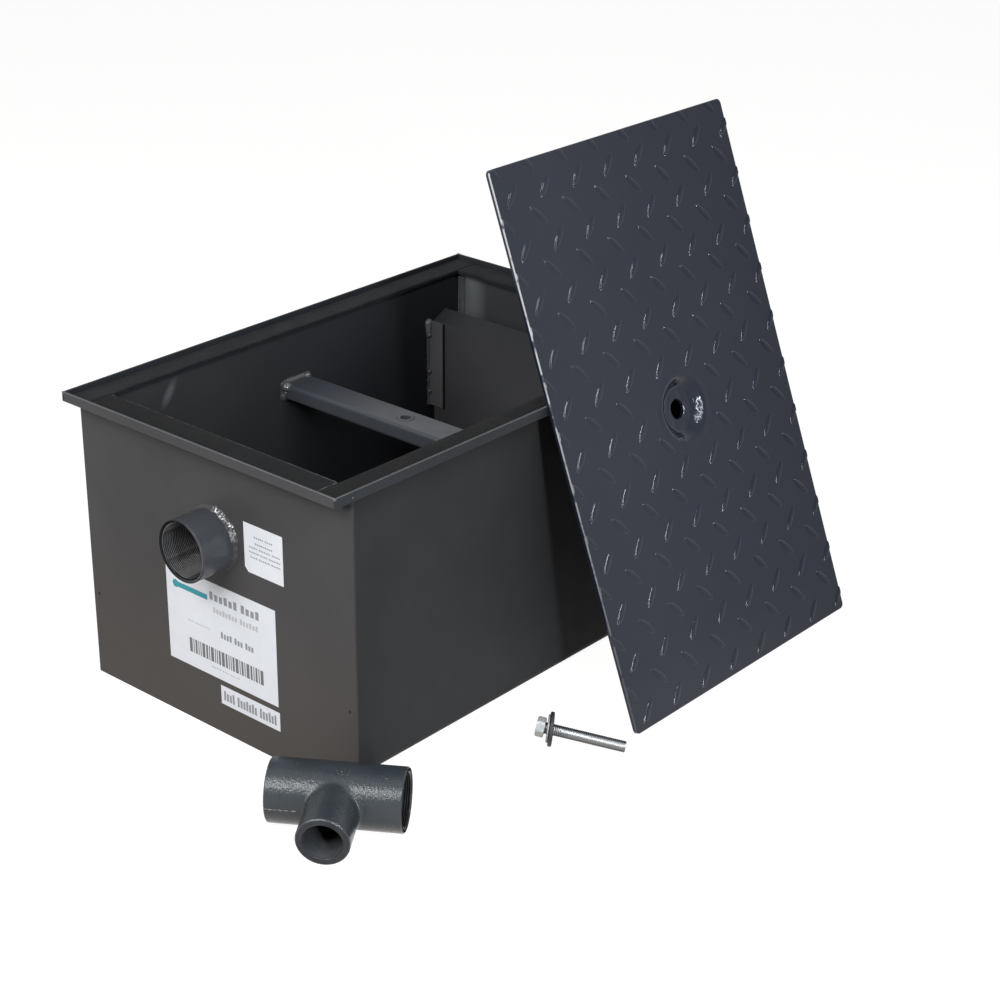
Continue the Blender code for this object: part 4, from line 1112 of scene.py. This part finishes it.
def words(bm, y, left, right, low, high, sizes, material, gap=0.0016):
    """A line of words as runs of plain upright blocks. sizes are their counts of blocks."""
    pitch = (right - left - gap * (len(sizes) - 1)) / sum(sizes)
    at = left
    for size in sizes:
        for index in range(size):
            start = at + index * pitch
            top = low + (high - low) * LETTER_HEIGHTS[index % len(LETTER_HEIGHTS)]
            block(bm, y, (start, low), (start + LETTER_SHARE * pitch, top), material)
        at += pitch * size + gap


def make_labels():
    looks = "paper grey_ink pale_ink teal_ink dark_ink"
    name, bm, y = label("outlet_label_large", (-0.0779, 0.0650), (0.0895, 0.1776))
    block(bm, y, (-0.0625, 0.1545), (-0.0136, 0.1607), 3)
    middle = Vector((-0.0632, y, 0.1578))
    rings = [[middle + Vector((0.0046 * cos(turn), reach, 0.0046 * sin(turn)))
              for turn in turns(28)] for reach in (-0.00008, 0.00003)]
    before = set(bm.faces)
    loft(bm, rings)
    for face in set(bm.faces) - before:
        face.material_index = 3
    for line in ((-0.0100, 0.0670, 0.1570, 0.1665, (6, 4), 1, 0.004),
                 (-0.0050, 0.0640, 0.1430, 0.1495, (8, 6), 2, 0.003),
                 (-0.0460, -0.0110, 0.1195, 0.1212, (3, 4, 3), 2),
                 (0.0050, 0.0560, 0.1160, 0.1235, (4, 3, 3), 1, 0.003)):
        words(bm, y, *line)
    at = -0.0455
    unit = CODE_WIDTH / (sum(CODE_BARS) + CODE_GAP * len(CODE_BARS))
    for width in CODE_BARS:
        block(bm, y, (at, 0.0825), (at + unit * width, 0.0995), 4)
        at += unit * (width + CODE_GAP)
    words(bm, y, -0.0110, 0.0320, 0.0755, 0.0773, (4, 3, 4), 2)
    add_piece(name, bm, looks, smooth=0)
    name, bm, y = label("outlet_label_small", (0.0474, 0.2097), (0.1040, 0.2651), 0.005)
    for left, right, low, sizes in ((0.0625, 0.0900, 0.2510, (5, 4)), (0.0635, 0.0895, 0.2440, (9,)),
                                    (0.0550, 0.1005, 0.2385, (5, 7, 5)),
                                    (0.0545, 0.1010, 0.2330, (6, 4, 7)),
                                    (0.0560, 0.1010, 0.2275, (4, 6, 5))):
        words(bm, y, left, right, low, low + 0.0018, sizes, 1)
    add_piece(name, bm, looks, smooth=0)
    name, bm, y = label("outlet_label_strip", (0.0011, 0.0362), (0.0910, 0.0585))
    words(bm, y, 0.0055, 0.0870, 0.0415, 0.0530, (4, 7, 6), 1, 0.0034)
    add_piece(name, bm, looks, smooth=0)


# Tee

def turned(profile, matrix, steps=96):
    """A closed solid of revolution round local Z from (radius, height) points."""
    rings = [round_ring(radius, height, steps) for radius, height in profile]
    bm = loft(bmesh.new(), rings, caps=False)
    bmesh.ops.remove_doubles(bm, verts=bm.verts, dist=1e-7)
    bmesh.ops.recalc_face_normals(bm, faces=bm.faces)
    return place_mesh(bm, matrix)


def mouth_cutter(radius, bore, depth, face, inner_bore=0.0, reach=0.0):
    """The profile of what is cut away past a mouth's face, at its chamfers and in its bore."""
    over = 0.012
    rim = face - TEE_EDGE
    outer = TEE_EDGE + radius
    profile = [(0.0, face - depth)]
    if inner_bore:
        profile = [(0.0, face - depth - reach), (inner_bore, face - depth - reach),
                   (inner_bore, face - depth)]
    profile += [(bore, face - depth), (bore, rim), (bore + 0.6 * TEE_EDGE, face),
                (outer - 2 * TEE_EDGE, face), (outer, rim - TEE_EDGE), (outer + over, rim - TEE_EDGE),
                (outer + over, face + over), (0.0, face + over)]
    return profile


def cast_tee():
    """Run and branch grown together with a soft root, then cut to clean bored mouths."""
    half = TEE_RUN_LENGTH / 2
    over = 0.006
    along = Matrix.Rotation(pi / 2, 4, 'Y')
    towards = Matrix.Rotation(pi / 2, 4, 'X')
    barrel = turned(((0.0, -half - over), (TEE_RUN_RADIUS, -half - over),
                     (TEE_RUN_RADIUS, half + over), (0.0, half + over)), along)
    branch = turned(((0.0, 0.0), (TEE_BRANCH_RADIUS, 0.0),
                     (TEE_BRANCH_RADIUS, TEE_BRANCH_REACH + over),
                     (0.0, TEE_BRANCH_REACH + over)), towards)
    stock = joined((barrel, branch))
    remesh = stock.modifiers.new("remesh", 'REMESH')
    remesh.mode = 'VOXEL'
    remesh.voxel_size = TEE_VOXEL
    bm = evaluated(stock)
    root = [vert for vert in bm.verts if vert.co.y < 0
            and abs(vert.co.yz.length - TEE_RUN_RADIUS) < TEE_ROOT
            and abs(vert.co.xz.length - TEE_BRANCH_RADIUS) < TEE_ROOT]
    for passes, verts, factor in ((TEE_ROOT_PASSES, root, 0.6), (4, bm.verts, 0.5)):
        for turn in range(passes):
            bmesh.ops.smooth_vert(bm, verts=verts, factor=factor, use_axis_x=True,
                                  use_axis_y=True, use_axis_z=True)
    casting_stock = joined((bm,))
    cutters = []
    run_mouth = mouth_cutter(TEE_RUN_RADIUS, TEE_THREAD_BORE, TEE_THREAD_DEPTH, half, TEE_RUN_BORE,
                             half)
    branch_mouth = mouth_cutter(TEE_BRANCH_RADIUS, TEE_BRANCH_BORE, TEE_BRANCH_REACH,
                                TEE_BRANCH_REACH)
    for matrix, profile in ((along, run_mouth), (Matrix.Rotation(-pi / 2, 4, 'Y'), run_mouth),
                            (towards, branch_mouth)):
        cutters.append(joined((turned(profile, matrix),)))
        add_boolean(casting_stock, 'DIFFERENCE', cutters[-1])
    bm = evaluated(casting_stock, cutters)
    bm.normal_update()
    for face in bm.faces:
        middle = face.calc_center_median()
        at_run_end = abs(face.normal.x) > 0.9 and abs(middle.x) > half - 0.0004
        at_branch_end = face.normal.y < -0.9 and middle.y < -TEE_BRANCH_REACH + 0.0004
        inside_branch = middle.xz.length < TEE_BRANCH_BORE + 0.0003
        face.material_index = 1 if at_run_end else 2 if at_branch_end or inside_branch else 0
    piece = add_piece("cast_flow_tee", place_mesh(bm, tee_matrix()), "cast mouth mouth_ring",
                      smooth=40.0)
    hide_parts("flow_tee")


def tee_marks():
    """Parting line on the run's left half, and plain raised pads where the mould was marked."""
    bm = bmesh.new()
    half = TEE_RUN_LENGTH / 2
    radius = TEE_RUN_RADIUS
    rings = []
    for point in run((-half + 0.001, 0, 0), (-TEE_BRANCH_RADIUS - 0.008, 0, 0), 24):
        wobble = 0.0004 * noise.noise(Vector((point.x * 300, 0, 0)))
        rings.append([Vector((point.x, -radius + 0.0004, -0.0009)),
                      Vector((point.x, -radius - 0.00045 - wobble, 0.0)),
                      Vector((point.x, -radius + 0.0004, 0.0009))])
    loft(bm, rings)
    for offset, lift, size in ((0.001, 82, (0.0024, 0.0022)), (0.006, 80, (0.0030, 0.0020)),
                               (0.014, 83, (0.0022, 0.0020)), (0.003, 74, (0.0030, 0.0018)),
                               (0.008, 73, (0.0040, 0.0018)), (0.013, 75, (0.0024, 0.0018)),
                               (0.0520, 73, (0.0070, 0.0024))):
        angle = radians(lift)
        out = Vector((0, -cos(angle), sin(angle)))
        along = Vector((0, sin(angle), cos(angle)))
        centre = Vector((offset, 0, 0)) + out * radius
        rings = []
        for shrink, height in ((1.0, -0.0006), (0.85, 0.00050), (0.45, 0.0008)):
            rings.append([centre + out * height
                          + Vector((1, 0, 0)) * (size[0] / 2 * shrink * cos(turn))
                          + along * (size[1] / 2 * shrink * sin(turn)) for turn in turns(16)])
        loft(bm, rings)
    add_piece("tee_casting_marks", place_mesh(bm, tee_matrix()), "cast", smooth=30.0)


# Build every piece

for port, side in PORTS:
    port_weld(port + "_weld_bead", side)
for hand, side in HANDS:
    crossbar_weld("crossbar_weld_" + hand, side)
    guide_weld("guide_weld_" + hand, side)
    outlet_baffle_weld("outlet_baffle_weld_" + hand, side)
    for port, end in reversed(PORTS):
        corner_weld("corner_weld_" + port + "_" + hand, side, end)
    for port, end in PORTS:
        rim_corner_weld("rim_corner_weld_" + port + "_" + hand, side, end)
painted_edge_highlights()
make_gasket()
for port, side in PORTS:
    thread_sleeve(port + "_port_thread", COUPLING_BORE, PORT_LENGTH, port_matrix(side),
                  "thread_lit thread_dark")
for end, side in HANDS:
    turn = Matrix.Rotation(side * pi / 2, 4, 'Y')
    depth = TEE_THREAD_DEPTH - TEE_THREAD_SHORT[end]
    start = Matrix.Translation((side * (TEE_RUN_LENGTH / 2 - TEE_THREAD_START - depth), 0, 0))
    thread_sleeve("tee_thread_" + end, TEE_THREAD_BORE, depth, tee_matrix() @ start @ turn,
                  "tee_thread_lit tee_thread_dark")
threaded_bolt()
loose_washers()
cover = add_piece("tread_cover", tread_cover(), "cover", smooth=28.0)
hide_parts("cover_plate")
make_labels()
cast_tee()
tee_marks()


# Light, floor and camera

LAMP_AIM = Vector((0.1, 0.0, 0.2))
WHITE = (1, 1, 1, 1)
WORLD_COLOUR = (0.90, 0.95, 1.0, 1)
WORLD_STRENGTH = 0.048
FLOOR_COLOUR = (0.25, 0.225, 0.21, 1)
FLOOR_HALF_SIZE = 12.0
FLOOR_WHITE = 0.94
CAMERA_AT = (1.5612, -1.6430, 1.2194)
CAMERA_ANGLES = (-40.8671, 24.7415, 0.5345)
CAMERA_LENS = 79.463


def area_light(name, place, size, power, colour, along=None):
    """A rectangular lamp. along gives the direction that its second size runs in."""
    data = bpy.data.lights.new(name, 'AREA')
    data.shape = 'RECTANGLE'
    data.size, data.size_y = size
    data.energy = power
    data.color = colour
    lamp = linked(name, data)
    lamp.location = place
    lamp.rotation_mode = 'QUATERNION'
    back = (Vector(place) - LAMP_AIM).normalized()
    lamp.rotation_quaternion = back.to_track_quat('Z', 'Y')
    if along:
        side = Vector(along).cross(back).normalized()
        turn = Matrix((side, back.cross(side), back)).transposed()
        lamp.rotation_quaternion = turn.to_quaternion()


def seen_directly(tree):
    """1 for camera, glossy and transmission rays, else 0."""
    rays = tree.nodes.new("ShaderNodeLightPath").outputs
    either = add_node(tree, "ShaderNodeMath", 0,
                      {0: rays["Is Camera Ray"], 1: rays["Is Glossy Ray"]}, operation='MAXIMUM')
    return add_node(tree, "ShaderNodeMath", 0, {0: either, 1: rays["Is Transmission Ray"]},
                    operation='MAXIMUM')


def make_floor():
    """A floor that keeps its shadows and looks white."""
    bm = bmesh.new()
    bmesh.ops.create_grid(bm, x_segments=1, y_segments=1, size=FLOOR_HALF_SIZE)
    floor = linked("floor", mesh_of("floor", bm))
    floor.location.z = -0.0005
    recipe = Recipe("look_floor")
    look = recipe.finish(Roughness=0.9, Base_Color=FLOOR_COLOUR, Specular_IOR_Level=0.0)
    lit = recipe.shader.outputs[0]
    white = recipe.node("ShaderNodeEmission", 0, {"Color": WHITE, "Strength": FLOOR_WHITE})
    both = recipe.node("ShaderNodeAddShader", 0, {0: lit, 1: white})
    mix = recipe.node("ShaderNodeMixShader", 0, {0: seen_directly(recipe.tree), 1: lit, 2: both})
    feed(recipe.tree, recipe.tree.nodes["Material Output"], {"Surface": mix})
    floor.data.materials.append(look)


def make_world():
    world = bpy.data.worlds.new("studio")
    bpy.context.scene.world = world
    world.use_nodes = True
    tree = world.node_tree
    dim = tree.nodes["Background"]
    feed(tree, dim, {"Color": WORLD_COLOUR, "Strength": WORLD_STRENGTH})
    white = add_node(tree, "ShaderNodeBackground", 0, {"Color": WHITE, "Strength": 1.0})
    mix = add_node(tree, "ShaderNodeMixShader", 0,
                   {0: seen_directly(tree), 1: dim.outputs[0], 2: white})
    feed(tree, tree.nodes["World Output"], {"Surface": mix})


def make_camera():
    """The photograph's viewpoint, turned towards the tank's right, looking down, a little rolled."""
    turn, down, roll = (radians(angle) for angle in CAMERA_ANGLES)
    forward = Vector((sin(turn) * cos(down), cos(turn) * cos(down), -sin(down)))
    right = Vector((cos(turn), -sin(turn), 0))
    up = right.cross(forward)
    across = right * cos(roll) + up * sin(roll)
    rise = up * cos(roll) - right * sin(roll)
    matrix = Matrix((across, rise, -forward)).transposed().to_4x4()
    matrix.translation = CAMERA_AT
    data = bpy.data.cameras.new("camera")
    data.sensor_width = 36.0
    data.lens = CAMERA_LENS
    camera = linked("camera", data)
    camera.matrix_world = matrix
    bpy.context.scene.camera = camera


make_world()
make_floor()
make_camera()
area_light("key", (-0.30, -1.95, 1.60), (1.7, 1.7), 44.0, (1.0, 0.985, 0.965))
area_light("glint", (0.67, -1.75, 1.67), (0.42, 0.42), 15.5, (0.98, 0.99, 1.0))
area_light("side", (2.23, -0.99, 0.95), (0.09, 1.30), 28.0, (0.90, 0.95, 1.0))
area_light("strip", (1.62, -0.46, 1.98), (0.09, 1.50), 22.0, (0.92, 0.96, 1.0),
           along=(-0.44, 0.715, 0.541))

scene = bpy.context.scene
scene.view_settings.view_transform = 'Standard'
